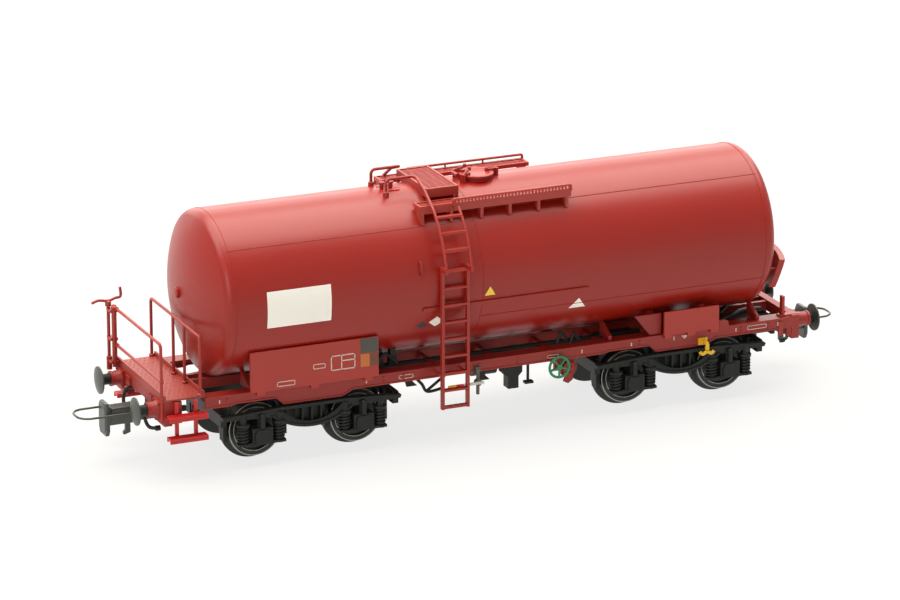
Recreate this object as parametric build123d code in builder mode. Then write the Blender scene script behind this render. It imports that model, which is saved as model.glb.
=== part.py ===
from build123d import *
from math import asin, atan2, cos, pi, radians, sin, sqrt
import os

os.makedirs("parts", exist_ok=True)

# Lengths are in mm, X runs along the car, Z = 0 is the bottom of the wheel flanges.
# Positions along the car are counted from the middle between the bogies.

# Wheels
tread_radius = 5.3
flange_depth = 1.0
back_to_back = 14.3
flange_width = 0.8
flange_crest_share = 0.6
flange_root_share = 0.15
tyre_width = 2.8
rim_inner_radius = 4.3
wheel_web_inset = 0.6
hub_radius = 1.7
axle_radius = 0.9
journal_radius = 0.45
journal_reach = 13.3
wheelbase = 20.7

# Bogies
pivot_spacing = 77.8
bogie_end_reach = 18.2
bogie_end_thickness = 1.2
bogie_end_half_width = 11.4
bogie_end_top_z = 10.7
bogie_end_height = 2.4
side_frame_y = 12.3
side_frame_thickness = 1.5
side_frame_top_z = 11.2
side_frame_tip_top_z = 10.5
side_frame_tip_depth = 1.1
side_frame_belly_z = 6.6
belly_depth = 1.4
window_half_length = 6.2
window_top_z = 10.6
window_rib_width = 0.35
window_rib_spacing = 1.9
window_rib_thickness = 0.8
axle_box_length = 4.2
axle_box_bottom_z = 4.6
axle_box_top_z = 8.2
axle_box_inner_y = 11.2
axle_box_outer_y = 14.5
journal_clearance = 0.15
spring_offset = 3.9
spring_radius = 1.15
spring_bottom_z = 5.4
transom_half_length = 3.0
transom_bottom_z = 7.0
centre_plate_radius = 3.2
centre_plate_top_z = 11.5
pivot_pin_radius = 1.0
pivot_pin_top_z = 13.2
pivot_clearance = 0.12
brake_shoe_gap = 0.35
brake_shoe_thickness = 0.8
brake_shoe_width = 2.0
brake_shoe_height = 3.6
brake_beam_radius = 0.4

# Underframe
left_overhang = 34.9
right_overhang = 31.1
buffer_length = 5.2
sill_half_width = 13.0
sill_web = 0.8
sill_flange = 2.2
sill_flange_thickness = 0.6
sill_top_z = 14.85
sill_base_z = 12.6
sill_arch_z = 12.9
sill_deep_z = 11.5
sill_left_x = -60.4
centre_sill_half_width = 2.0
centre_sill_bottom_z = 12.9
crossbar_thickness = 1.0
crossbar_xs = (-23.0, -12.0, 0.0, 12.0, 23.0)
bolster_half_length = 3.4
bolster_bottom_z = 11.6
beam_thickness = 1.6
beam_half_width = 13.0
beam_top_z = 15.1
beam_bottom_z = 10.3
end_platform_length = 8.1
end_platform_thickness = 0.5
end_platform_top_z = 15.5
platform_lip_height = 0.9
platform_lip_thickness = 0.4

# Buffers
buffer_spacing = 20.1
buffer_z = 13.1
buffer_head_radius = 2.7
buffer_head_thickness = 0.7
buffer_dome = 0.45
housing_radius = 1.35
housing_left_length = 2.5
housing_right_length = 3.4
buffer_flange_size = 3.6
buffer_flange_thickness = 0.5
plunger_radius = 1.0

# Tank
tank_radius = 16.0
tank_axis_z = 31.45
barrel_left_x = -55.2
barrel_right_x = 56.2
knuckle_radius = 2.0
crown_radius = 32.0
end_boss_radius = 0.65
end_boss_height = 0.5

# Manhole
manhole_x = 0.9
manhole_radius = 2.9
lid_radius = 3.3
lid_thickness = 0.55
lid_top_z = 48.35
hinge_block = (1.3, 1.7, 1.2)
clamp_length = 2.4
clamp_width = 0.5
clamp_angles = (0, 150, 210)
clamp_stand = 0.5

# Walkways on the tank
grating_left_x = -12.6
grating_length = 6.6
grating_half_width = 7.4
grating_top_z = 48.3
grating_thickness = 0.5
grating_frame_height = 1.0
grating_frame_width = 0.5
walkway_left_x = -8.8
walkway_right_x = 15.8
walkway_step_left_x = -15.7
walkway_outer_y = 11.4
walkway_width = 3.2
walkway_top_z = 46.2
walkway_thickness = 0.45
walkway_fascia_height = 1.3
walkway_fascia_thickness = 0.35
walkway_rail_z = 47.2
bracket_xs = (-15.2, -9.2, -2.9, 3.0, 9.0, 14.9)
bracket_thickness = 0.6

# Rods
rod_radius = 0.3
thin_rod_radius = 0.25
rod_bend_radius = 0.9

# Ladders
ladder_left_x = -13.4
ladder_width = 5.2
ladder_y = 16.7
ladder_bottom_z = 7.3
ladder_stile = (0.55, 0.9)
ladder_rung_radius = 0.28
rung_spacing = 3.4
ladder_arc_radius = 19.1
ladder_arc_low_angle = 13.0
ladder_arc_high_angle = 49.0
ladder_crest_angle = 65.0
ladder_top_z = 50.3
loop_left_x = -19.45
loop_y = 3.7

# Brake platform railings and brake column
front_rail_top_z = 26.6
rear_rail_top_z = 27.2
rear_rail_x = -61.35
rail_half_width = 13.1
rail_mid_height = 0.45
column_y = 12.4
column_radius = 0.5
column_tubes = 3
column_foot_z = 14.95
front_rail_foot_z = 11.2
column_spacing = 1.0
column_head_z = 27.6
crank_points = [(-2.2, -1.2, 0.4), (-0.8, 0.3, 0.7), (0.2, 0, 0), (2.0, 0.2, 1.4), (2.2, 0.2, 3.2)]
rear_post_ys = (-4.8, 1.1)
front_rail_low_z = 19.3

# Steps
step_length = 7.6
step_upper_z = 12.2
step_lower_z = 8.0
step_depth = 2.0
step_thickness = 0.5
step_hanger_width = 0.7
step_y = 15.6
step_hanger_offset = 1.9

# Boards
left_board_left_x = -51.6
left_board_length = 26.1
left_board_top_z = 22.9
left_board_bottom_z = 14.95
right_board_left_x = 34.8
right_board_length = 11.8
right_board_top_z = 19.7
right_board_bottom_z = 14.95
board_thickness = 0.5
board_y = 13.6
board_foot_width = 1.6
board_foot_height = 0.6
board_foot_lap = 0.3
board_feet_shares = (-0.42, 0, 0.42)

# Saddles that carry the tank
saddle_half_length = 5.5
saddle_thickness = 0.8
saddle_half_width = 11.0
saddle_rise = 4.4

# Outlet, handwheels and brake gear
outlet_x = 16.0
outlet_y = 9.6
outlet_z = 9.8
outlet_radius = 1.1
outlet_flange_radius = 1.9
outlet_flange_thickness = 0.6
handwheel_x = 12.4
handwheel_y = 13.9
handwheel_z = 11.5
handwheel_radius = 2.05
handwheel_rim_radius = 0.26
handwheel_spokes = 5
handwheel_hub_radius = 0.5
brake_cylinder_x = -2.5
brake_cylinder_y = -5.0
brake_cylinder_z = 10.8
brake_cylinder_radius = 1.8
brake_cylinder_length = 5.0
brake_bracket_length = 3.0

# Couplers
coupler_plate_reach = 2.6
coupler_loop_reach = 5.3
coupler_pivot_inset = 9.0
coupler_plate = (0.9, 4.4, 6.6)
coupler_plate_z = 5.7
coupler_body = (5.8, 3.4, 3.2)
coupler_body_z = 7.9
coupler_shaft = (1.8, 1.5)
coupler_hook_height = 1.2
loop_wire_radius = 0.22
loop_half_width = 3.0
loop_z = 10.3
loop_pivot_inset = 3.6
loop_clearance = 0.08
coupler_eye_radius = 1.2
coupler_pin_radius = 0.5
coupler_pin_clearance = 0.1
coupler_pin_head = 0.4
coupler_pocket = (4.4, 4.0)
coupler_pocket_gap = 0.2

flange_radius = tread_radius + flange_depth
axle_z = flange_radius
mid_x = (left_overhang - right_overhang) / 2
pivot_x = pivot_spacing / 2
left_face_x = -pivot_x - left_overhang
right_face_x = pivot_x + right_overhang
left_beam_x = left_face_x + buffer_length
right_beam_x = right_face_x - buffer_length
sill_right_x = right_beam_x - beam_thickness
centre_sill_left_x = left_beam_x + beam_thickness
car_ends = {"left": -1, "right": 1}
sides = {"near": -1, "far": 1}
wheel_back_y = back_to_back / 2
wheel_face_y = wheel_back_y + tyre_width
tank_top_z = tank_axis_z + tank_radius
manhole_base_z = tank_axis_z + sqrt(tank_radius ** 2 - lid_radius ** 2)
lid_bottom_z = lid_top_z - lid_thickness
crossbar_span = sill_half_width - sill_web - centre_sill_half_width
crossbar_y = centre_sill_half_width + crossbar_span / 2
beam_table = [("left", -1, left_beam_x, housing_left_length), ("right", 1, right_beam_x, housing_right_length)]
coupler_table = [("left", -1, mid_x + left_face_x), ("right", 1, mid_x + right_face_x)]
board_table = [
    ("board_left", left_board_left_x, left_board_length, left_board_top_z, left_board_bottom_z),
    ("board_right", right_board_left_x, right_board_length, right_board_top_z, right_board_bottom_z),
]
dome_radius = (buffer_head_radius ** 2 + buffer_dome ** 2) / (2 * buffer_dome)
dome_angle = asin(buffer_head_radius / dome_radius)
step_x = left_beam_x + end_platform_length / 2
brake_shoe_y = wheel_face_y - tyre_width / 2 + flange_width / 2
axle_low_share = 0
wheel_reach = wheelbase / 2
sill_outline = [
    (sill_left_x, sill_base_z),
    (-pivot_x - wheel_reach - 6.0, sill_base_z),
    (-pivot_x - wheel_reach - 5.0, sill_arch_z),
    (-pivot_x - wheel_reach + 3.2, sill_arch_z),
    (-pivot_x - wheel_reach + 4.7, sill_deep_z),
    (-pivot_x + wheel_reach - 4.0, sill_deep_z),
    (-pivot_x + wheel_reach - 1.7, sill_base_z),
    (pivot_x - wheel_reach - 6.5, sill_base_z),
    (pivot_x - wheel_reach - 5.2, sill_arch_z),
    (pivot_x - wheel_reach + 3.5, sill_arch_z),
    (pivot_x - wheel_reach + 5.0, sill_deep_z),
    (pivot_x + wheel_reach - 5.5, sill_deep_z),
    (pivot_x + wheel_reach - 2.8, sill_base_z),
    (sill_right_x, sill_base_z),
    (sill_right_x, sill_top_z),
    (sill_left_x, sill_top_z),
]
side_frame_outline = [
    (-bogie_end_reach, side_frame_tip_top_z - side_frame_tip_depth),
    (-wheel_reach, side_frame_tip_top_z - side_frame_tip_depth),
    (-window_half_length, side_frame_belly_z + belly_depth),
    (-window_half_length / 2, side_frame_belly_z),
    (window_half_length / 2, side_frame_belly_z),
    (window_half_length, side_frame_belly_z + belly_depth),
    (wheel_reach, side_frame_tip_top_z - side_frame_tip_depth),
    (bogie_end_reach, side_frame_tip_top_z - side_frame_tip_depth),
    (bogie_end_reach, side_frame_tip_top_z),
    (window_half_length, side_frame_top_z),
    (-window_half_length, side_frame_top_z),
    (-bogie_end_reach, side_frame_tip_top_z),
]
window_outline = [
    (-window_half_length, window_top_z),
    (-window_half_length / 2, side_frame_belly_z + belly_depth),
    (window_half_length / 2, side_frame_belly_z + belly_depth),
    (window_half_length, window_top_z),
]


def tank_z(y):
    """Height of the tank's upper surface at a distance from its centre line."""
    return tank_axis_z + sqrt(tank_radius ** 2 - y ** 2)


def flat(x, y, z):
    """Level plane at a place on the car."""
    return Plane(origin=(mid_x + x, y, z))


def across(x, y, z):
    """Upright plane square to the track: sketches read Y to the right and Z up."""
    return Plane(origin=(mid_x + x, y, z), x_dir=(0, 1, 0), z_dir=(1, 0, 0))


def along(x, y, z):
    """Upright plane along the track: sketches read X to the right and Z up, and the normal is -Y."""
    return Plane(origin=(mid_x + x, y, z), x_dir=(1, 0, 0), z_dir=(0, -1, 0))


# Tank barrel
with BuildPart() as tank_barrel:
    with BuildSketch(Plane(origin=(mid_x + barrel_left_x, 0, tank_axis_z), z_dir=(1, 0, 0))):
        Circle(tank_radius)
    extrude(amount=barrel_right_x - barrel_left_x)
tank_barrel.part.label = "tank_barrel"
export_step(tank_barrel.part, "parts/tank_barrel.step")

# Domed tank ends, each with a small boss in the middle
crown_offset = sqrt((crown_radius - knuckle_radius) ** 2 - (tank_radius - knuckle_radius) ** 2)
crown_angle = atan2(tank_radius - knuckle_radius, crown_offset)
dome_depth = crown_radius - crown_offset
for side, sign, seam_x in (("left", -1, barrel_left_x), ("right", 1, barrel_right_x)):
    with BuildPart() as tank_end:
        with BuildSketch(Plane(origin=(mid_x + seam_x, 0, tank_axis_z), x_dir=(sign, 0, 0), z_dir=(0, -sign, 0))):
            with BuildLine():
                knuckle_mid = (pi / 2 + crown_angle) / 2
                crown_mid = crown_angle / 2
                joint = (
                    crown_radius * cos(crown_angle) - crown_offset,
                    crown_radius * sin(crown_angle),
                )
                Line((0, 0), (0, tank_radius))
                ThreePointArc(
                    (0, tank_radius),
                    (knuckle_radius * cos(knuckle_mid), tank_radius - knuckle_radius + knuckle_radius * sin(knuckle_mid)),
                    joint,
                )
                ThreePointArc(
                    joint,
                    (crown_radius * cos(crown_mid) - crown_offset, crown_radius * sin(crown_mid)),
                    (dome_depth, 0),
                )
                Line((dome_depth, 0), (0, 0))
            make_face()
        revolve(axis=Axis((mid_x + seam_x, 0, tank_axis_z), (1, 0, 0)))
    tank_end.part.label = f"tank_end_{side}"
    export_step(tank_end.part, f"parts/tank_end_{side}.step")

# Manhole neck with its lid, hinge and swing bolts
with BuildPart() as manhole:
    with BuildSketch(Plane(origin=(mid_x + manhole_x, 0, manhole_base_z))):
        Circle(manhole_radius)
    extrude(amount=lid_bottom_z - manhole_base_z)
    with BuildSketch(Plane(origin=(mid_x + manhole_x, 0, lid_bottom_z))):
        Circle(lid_radius)
    extrude(amount=lid_thickness)
    for angle in clamp_angles:
        with BuildSketch(Plane(origin=(mid_x + manhole_x, 0, manhole_base_z))):
            with Locations(Rot(0, 0, angle) * Pos(lid_radius, 0)):
                Rectangle(clamp_length, clamp_width)
        extrude(amount=lid_top_z + clamp_stand - manhole_base_z)
    with Locations((mid_x + manhole_x, 0, tank_axis_z)):
        Cylinder(tank_radius, 4 * lid_radius, rotation=(0, 90, 0), mode=Mode.SUBTRACT)
manhole.part.label = "manhole"
export_step(manhole.part, "parts/manhole.step")

# Grating platform over the tank, on a frame whose legs stand on the barrel
with BuildPart() as top_platform:
    with BuildSketch(Plane(origin=(mid_x + grating_left_x + grating_length / 2, 0, grating_top_z - grating_thickness))):
        Rectangle(grating_length, 2 * grating_half_width)
    extrude(amount=grating_thickness)
    with BuildSketch(Plane(origin=(mid_x + grating_left_x + grating_length / 2, 0, grating_top_z - grating_thickness))):
        Rectangle(grating_length, 2 * grating_half_width)
        Rectangle(
            grating_length - 2 * grating_frame_width,
            2 * (grating_half_width - grating_frame_width),
            mode=Mode.SUBTRACT,
        )
    extrude(amount=-grating_frame_height)
    leg_y = grating_half_width - grating_frame_width / 2
    for x in (grating_left_x + grating_frame_width / 2, grating_left_x + grating_length - grating_frame_width / 2):
        with BuildSketch(Plane(origin=(mid_x + x, 0, tank_z(leg_y + grating_frame_width / 2)))):
            with Locations((0, -leg_y), (0, leg_y)):
                Rectangle(grating_frame_width, grating_frame_width)
        extrude(amount=grating_top_z - grating_thickness - tank_z(leg_y + grating_frame_width / 2))
    with Locations((mid_x + grating_left_x + grating_length / 2, 0, tank_axis_z)):
        Cylinder(tank_radius, 2 * grating_length, rotation=(0, 90, 0), mode=Mode.SUBTRACT)
top_platform.part.label = "top_platform"
export_step(top_platform.part, "parts/top_platform.step")

# Walkways along both flanks of the tank top, each on brackets from the barrel
for side, sign in sides.items():
    with BuildPart() as walkway:
        deck_y = sign * (walkway_outer_y - walkway_width / 2)
        deck_length = walkway_right_x - walkway_step_left_x
        deck_x = mid_x + (walkway_right_x + walkway_step_left_x) / 2
        with BuildSketch(Plane(origin=(deck_x, deck_y, walkway_top_z))):
            Rectangle(deck_length, walkway_width)
        extrude(amount=-walkway_thickness)
        face_y = sign * (walkway_outer_y - walkway_fascia_thickness / 2)
        with BuildSketch(Plane(origin=(deck_x, face_y, walkway_top_z))):
            Rectangle(deck_length, walkway_fascia_thickness)
        extrude(amount=-walkway_fascia_height)
        for x in bracket_xs:
            with BuildSketch(Plane(origin=(mid_x + x, 0, 0), x_dir=(0, sign, 0), z_dir=(sign, 0, 0))):
                with BuildLine():
                    inner_y = walkway_outer_y - walkway_width
                    Polyline(
                        (inner_y, tank_z(inner_y)),
                        (inner_y, walkway_top_z - walkway_thickness),
                        (walkway_outer_y - walkway_fascia_thickness, walkway_top_z - walkway_thickness),
                        (walkway_outer_y - walkway_fascia_thickness, tank_z(walkway_outer_y)),
                        close=True,
                    )
                make_face()
            extrude(amount=bracket_thickness / 2, both=True)
        with BuildLine() as rail_path:
            FilletPolyline(
                (mid_x + walkway_left_x, sign * walkway_outer_y, walkway_top_z - walkway_thickness / 2),
                (mid_x + walkway_left_x, sign * walkway_outer_y, walkway_rail_z),
                (mid_x + walkway_right_x, sign * walkway_outer_y, walkway_rail_z),
                (mid_x + walkway_right_x, sign * walkway_outer_y, walkway_top_z - walkway_thickness / 2),
                radius=thin_rod_radius * 1.5,
            )
        with BuildSketch(Plane(origin=rail_path.line @ 0, z_dir=rail_path.line % 0)):
            Circle(thin_rod_radius)
        sweep(path=rail_path.line)
        with Locations((mid_x + (walkway_right_x + walkway_step_left_x) / 2, 0, tank_axis_z)):
            Cylinder(tank_radius, 2 * deck_length, rotation=(0, 90, 0), mode=Mode.SUBTRACT)
    walkway.part.label = f"walkway_{side}"
    export_step(walkway.part, f"parts/walkway_{side}.step")

# Ladders: flat stiles below, round stiles that follow the barrel above
arc_low = radians(ladder_arc_low_angle)
arc_high = radians(ladder_arc_high_angle)
arc_mid = (arc_low + arc_high) / 2
arc_crest = radians(ladder_crest_angle)
for side, sign in sides.items():
    with BuildPart() as ladder:
        stile_top_z = tank_axis_z + ladder_arc_radius * sin(arc_low)
        for x in (ladder_left_x, ladder_left_x + ladder_width):
            with BuildSketch(Plane(origin=(mid_x + x, sign * ladder_y, ladder_bottom_z))):
                Rectangle(*ladder_stile)
            extrude(amount=stile_top_z - ladder_bottom_z)
            with BuildLine() as arc_path:
                ThreePointArc(
                    (mid_x + x, sign * ladder_arc_radius * cos(arc_low), stile_top_z),
                    (mid_x + x, sign * ladder_arc_radius * cos(arc_mid), tank_axis_z + ladder_arc_radius * sin(arc_mid)),
                    (mid_x + x, sign * ladder_arc_radius * cos(arc_high), tank_axis_z + ladder_arc_radius * sin(arc_high)),
                )
            with BuildSketch(Plane(origin=arc_path.line @ 0, z_dir=arc_path.line % 0)):
                Circle(rod_radius)
            sweep(path=arc_path.line)
            with BuildSketch(Plane(origin=(mid_x + x, sign * ladder_y, stile_top_z))):
                with Locations((0, sign * (ladder_arc_radius * cos(arc_low) - ladder_y) / 2)):
                    Rectangle(ladder_stile[0], ladder_stile[1] + ladder_arc_radius * cos(arc_low) - ladder_y)
            extrude(amount=-ladder_stile[1])
        rung_count = int((stile_top_z - ladder_bottom_z) / rung_spacing) + 1
        for number in range(rung_count):
            rung_z = ladder_bottom_z + ladder_rung_radius + number * rung_spacing
            with BuildSketch(Plane(origin=(mid_x + ladder_left_x, sign * ladder_y, rung_z), z_dir=(1, 0, 0))):
                Circle(ladder_rung_radius)
            extrude(amount=ladder_width)
        arc_step = rung_spacing / ladder_arc_radius
        for number in range(1, int((arc_high - arc_low) / arc_step) + 1):
            angle = arc_low + number * arc_step
            rung_spot = (
                mid_x + ladder_left_x,
                sign * ladder_arc_radius * cos(angle),
                tank_axis_z + ladder_arc_radius * sin(angle),
            )
            with BuildSketch(Plane(origin=rung_spot, z_dir=(1, 0, 0))):
                Circle(ladder_rung_radius)
            extrude(amount=ladder_width)
    ladder.part.label = f"ladder_{side}"
    export_step(ladder.part, f"parts/ladder_{side}.step")

# Handrail loops on the tank top that run down into the ladders' left stiles
with BuildPart() as top_handrails:
    for sign in sides.values():
        high_y = ladder_arc_radius * cos(arc_high)
        high_z = tank_axis_z + ladder_arc_radius * sin(arc_high)
        crest_y = ladder_arc_radius * cos(arc_crest)
        crest_z = tank_axis_z + ladder_arc_radius * sin(arc_crest)
        with BuildLine() as rail_path:
            FilletPolyline(
                (mid_x + loop_left_x, sign * loop_y, tank_z(loop_y)),
                (mid_x + loop_left_x, sign * loop_y, ladder_top_z),
                (mid_x + ladder_left_x, sign * loop_y, ladder_top_z),
                (mid_x + ladder_left_x, sign * crest_y, crest_z),
                (mid_x + ladder_left_x, sign * high_y, high_z),
                radius=rod_bend_radius,
            )
        with BuildSketch(Plane(origin=rail_path.line @ 0, z_dir=rail_path.line % 0)):
            Circle(rod_radius)
        sweep(path=rail_path.line)
top_handrails.part.label = "top_handrails"
export_step(top_handrails.part, "parts/top_handrails.step")

# Side sills: channels whose lower edge steps over the wheels and deepens at the bogies
for side, sign in sides.items():
    with BuildPart() as sill:
        web_y = sign * (sill_half_width - sill_web)
        with BuildSketch(Plane(origin=(mid_x, web_y, 0), x_dir=(1, 0, 0), z_dir=(0, -1, 0))):
            with BuildLine():
                Polyline(*[(x, z) for x, z in sill_outline], close=True)
            make_face()
        extrude(amount=-sign * sill_web)
        with BuildSketch(Plane(origin=(mid_x + (sill_left_x + sill_right_x) / 2, web_y - sign * sill_flange / 2, sill_top_z))):
            Rectangle(sill_right_x - sill_left_x, sill_flange)
        extrude(amount=-sill_flange_thickness)
    sill.part.label = f"sill_{side}"
    export_step(sill.part, f"parts/sill_{side}.step")

# Centre sill
with BuildPart() as centre_sill:
    with BuildSketch(across(centre_sill_left_x, 0, 0)):
        with Locations((0, (centre_sill_bottom_z + sill_top_z) / 2)):
            Rectangle(2 * centre_sill_half_width, sill_top_z - centre_sill_bottom_z)
            Rectangle(
                2 * (centre_sill_half_width - sill_web),
                sill_top_z - centre_sill_bottom_z,
                mode=Mode.SUBTRACT,
            )
    extrude(amount=sill_right_x - centre_sill_left_x)
centre_sill.part.label = "centre_sill"
export_step(centre_sill.part, "parts/centre_sill.step")

# Crossbars between the sills
with BuildPart() as crossbars:
    for x in crossbar_xs:
        for sign in sides.values():
            with BuildSketch(Plane(origin=(mid_x + x, sign * crossbar_y, centre_sill_bottom_z))):
                Rectangle(crossbar_thickness, crossbar_span)
            extrude(amount=sill_top_z - sill_flange_thickness - centre_sill_bottom_z)
crossbars.part.label = "crossbars"
export_step(crossbars.part, "parts/crossbars.step")

# Bolsters over the bogies, each with the bearing hole for the pivot pin
for side, sign in car_ends.items():
    with BuildPart() as bolster:
        with BuildSketch(Plane(origin=(mid_x + sign * pivot_x, 0, bolster_bottom_z))):
            Rectangle(2 * bolster_half_length, 2 * (sill_half_width - sill_web))
            Circle(pivot_pin_radius + pivot_clearance, mode=Mode.SUBTRACT)
        extrude(amount=centre_sill_bottom_z - bolster_bottom_z)
    bolster.part.label = f"bolster_{side}"
    export_step(bolster.part, f"parts/bolster_{side}.step")

# Saddles between the sills and the tank
for side, sign in car_ends.items():
    with BuildPart() as saddle:
        for offset in (-saddle_half_length, saddle_half_length):
            with BuildSketch(across(sign * pivot_x + offset, 0, 0)):
                with Locations((0, sill_top_z + saddle_rise / 2)):
                    Rectangle(2 * saddle_half_width, saddle_rise)
                with Locations((0, tank_axis_z)):
                    Circle(tank_radius, mode=Mode.SUBTRACT)
            extrude(amount=saddle_thickness / 2, both=True)
    saddle.part.label = f"saddle_{side}"
    export_step(saddle.part, f"parts/saddle_{side}.step")

# Buffer beams with buffer housings and plungers
for side, sign, beam_x, housing_length in beam_table:
    with BuildPart() as beam:
        with BuildSketch(across(beam_x, 0, 0)):
            with Locations((0, (beam_top_z + beam_bottom_z) / 2)):
                Rectangle(2 * beam_half_width, beam_top_z - beam_bottom_z)
        extrude(amount=-sign * beam_thickness)
        for y in (-buffer_spacing / 2, buffer_spacing / 2):
            with BuildSketch(Plane(origin=(mid_x + beam_x, y, buffer_z), z_dir=(sign, 0, 0))):
                Rectangle(buffer_flange_size, buffer_flange_size)
            extrude(amount=buffer_flange_thickness)
            with BuildSketch(Plane(origin=(mid_x + beam_x, y, buffer_z), z_dir=(sign, 0, 0))):
                Circle(housing_radius)
            extrude(amount=housing_length)
    beam.part.label = f"beam_{side}"
    export_step(beam.part, f"parts/beam_{side}.step")
    with BuildPart() as buffers:
        for y in (-buffer_spacing / 2, buffer_spacing / 2):
            with BuildSketch(
                Plane(origin=(mid_x + beam_x, y, buffer_z), x_dir=(sign, 0, 0), z_dir=(0, -sign, 0))
            ):
                with BuildLine():
                    head_back = buffer_length - buffer_head_thickness
                    Polyline(
                        (buffer_length, 0),
                        (housing_length, 0),
                        (housing_length, plunger_radius),
                        (head_back, plunger_radius),
                        (head_back, buffer_head_radius),
                        (head_back + buffer_head_thickness - buffer_dome, buffer_head_radius),
                    )
                    ThreePointArc(
                        (head_back + buffer_head_thickness - buffer_dome, buffer_head_radius),
                        (
                            buffer_length - dome_radius * (1 - cos(dome_angle / 2)),
                            dome_radius * sin(dome_angle / 2),
                        ),
                        (buffer_length, 0),
                    )
                make_face()
            revolve(axis=Axis((mid_x + beam_x, y, buffer_z), (1, 0, 0)))
    buffers.part.label = f"buffers_{side}"
    export_step(buffers.part, f"parts/buffers_{side}.step")

# Brake platform at the left end
with BuildPart() as end_platform:
    with BuildSketch(Plane(origin=(mid_x + left_beam_x + end_platform_length / 2, 0, end_platform_top_z))):
        Rectangle(end_platform_length, 2 * beam_half_width)
    extrude(amount=-(end_platform_top_z - beam_top_z))
    with BuildSketch(Plane(origin=(mid_x + left_beam_x + platform_lip_thickness / 2, 0, end_platform_top_z))):
        Rectangle(platform_lip_thickness, 2 * beam_half_width)
    extrude(amount=platform_lip_height)
    with BuildSketch(
        Plane(origin=(mid_x + left_beam_x + end_platform_length - platform_lip_thickness / 2, 0, end_platform_top_z))
    ):
        Rectangle(platform_lip_thickness, 2 * beam_half_width)
    extrude(amount=platform_lip_height)
end_platform.part.label = "end_platform"
export_step(end_platform.part, "parts/end_platform.step")

# Railing between the platform and the tank
with BuildPart() as rear_rail:
    with BuildLine() as rail_path:
        FilletPolyline(
            (mid_x + rear_rail_x, -rail_half_width, end_platform_top_z),
            (mid_x + rear_rail_x, -rail_half_width, rear_rail_top_z),
            (mid_x + rear_rail_x, rail_half_width, rear_rail_top_z),
            (mid_x + rear_rail_x, rail_half_width, end_platform_top_z),
            radius=rod_bend_radius,
        )
    with BuildSketch(Plane(origin=rail_path.line @ 0, z_dir=rail_path.line % 0)):
        Circle(rod_radius)
    sweep(path=rail_path.line)
    for y in rear_post_ys:
        with BuildSketch(Plane(origin=(mid_x + rear_rail_x, y, end_platform_top_z))):
            Circle(rod_radius)
        extrude(amount=rear_rail_top_z - end_platform_top_z)
rear_rail.part.label = "rear_rail"
export_step(rear_rail.part, "parts/rear_rail.step")

# Railing over the buffer beam, held off the beam by a stub
front_x = left_beam_x - column_radius
with BuildPart() as front_rail:
    column_inner_y = column_y - column_spacing - column_radius
    with BuildLine() as rail_path:
        FilletPolyline(
            (mid_x + front_x, -rail_half_width, front_rail_foot_z),
            (mid_x + front_x, -rail_half_width, front_rail_top_z),
            (mid_x + front_x, column_inner_y, front_rail_top_z),
            radius=rod_bend_radius,
        )
    with BuildSketch(Plane(origin=rail_path.line @ 0, z_dir=rail_path.line % 0)):
        Circle(rod_radius)
    sweep(path=rail_path.line)
    with BuildSketch(along(front_x, column_inner_y, front_rail_low_z)):
        Circle(rod_radius)
    extrude(amount=column_inner_y + rail_half_width)
    with BuildSketch(across(front_x, -rail_half_width + rod_radius, front_rail_foot_z + rod_radius)):
        Rectangle(2 * rod_radius, 2 * rod_radius)
    extrude(amount=column_radius)
front_rail.part.label = "front_rail"
export_step(front_rail.part, "parts/front_rail.step")

# Hand brake column with its crank
with BuildPart() as brake_column:
    for number in range(column_tubes):
        with BuildSketch(flat(front_x, column_y + (number - 1) * column_spacing, column_foot_z)):
            Circle(column_radius)
        extrude(amount=front_rail_top_z + rod_radius - column_foot_z)
    with BuildSketch(flat(front_x, column_y, front_rail_top_z)):
        Circle(rod_radius)
    extrude(amount=column_head_z - front_rail_top_z)
    with BuildLine() as crank_path:
        Polyline(*[(mid_x + front_x + x, column_y + y, column_head_z + z) for x, y, z in crank_points])
    with BuildSketch(Plane(origin=crank_path.line @ 0, z_dir=crank_path.line % 0)):
        Circle(rod_radius)
    sweep(path=crank_path.line, transition=Transition.ROUND)
brake_column.part.label = "brake_column"
export_step(brake_column.part, "parts/brake_column.step")

# Two-tread steps under both corners of the platform
for side, sign in sides.items():
    with BuildPart() as steps:
        for tread_z in (step_upper_z, step_lower_z):
            with BuildSketch(Plane(origin=(mid_x + step_x, sign * (step_y - step_depth / 2), tread_z))):
                Rectangle(step_length, step_depth)
            extrude(amount=step_thickness)
        for offset in (-step_hanger_offset, step_hanger_offset):
            with BuildSketch(
                Plane(origin=(mid_x + step_x + offset, sign * (step_y - step_depth + step_thickness / 2), step_lower_z))
            ):
                Rectangle(step_hanger_width, step_thickness)
            extrude(amount=beam_top_z - step_lower_z)
    steps.part.label = f"steps_{side}"
    export_step(steps.part, f"parts/steps_{side}.step")

# Lettering boards and their gussets, left blank
for name, left_x, length, top_z, bottom_z in board_table:
    for side, sign in sides.items():
        with BuildPart() as board:
            with BuildSketch(along(left_x + length / 2, sign * board_y, 0)):
                with Locations((0, (top_z + bottom_z) / 2)):
                    Rectangle(length, top_z - bottom_z)
            extrude(amount=sign * -board_thickness)
            for share in board_feet_shares:
                with BuildSketch(along(left_x + length / 2 + share * length, sign * sill_half_width, 0)):
                    with Locations((0, sill_top_z - board_foot_height / 2 + board_foot_lap / 2)):
                        Rectangle(board_foot_width, board_foot_height + board_foot_lap)
                extrude(amount=sign * -(board_y + board_thickness - sill_half_width))
        board.part.label = f"{name}_{side}"
        export_step(board.part, f"parts/{name}_{side}.step")

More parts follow.
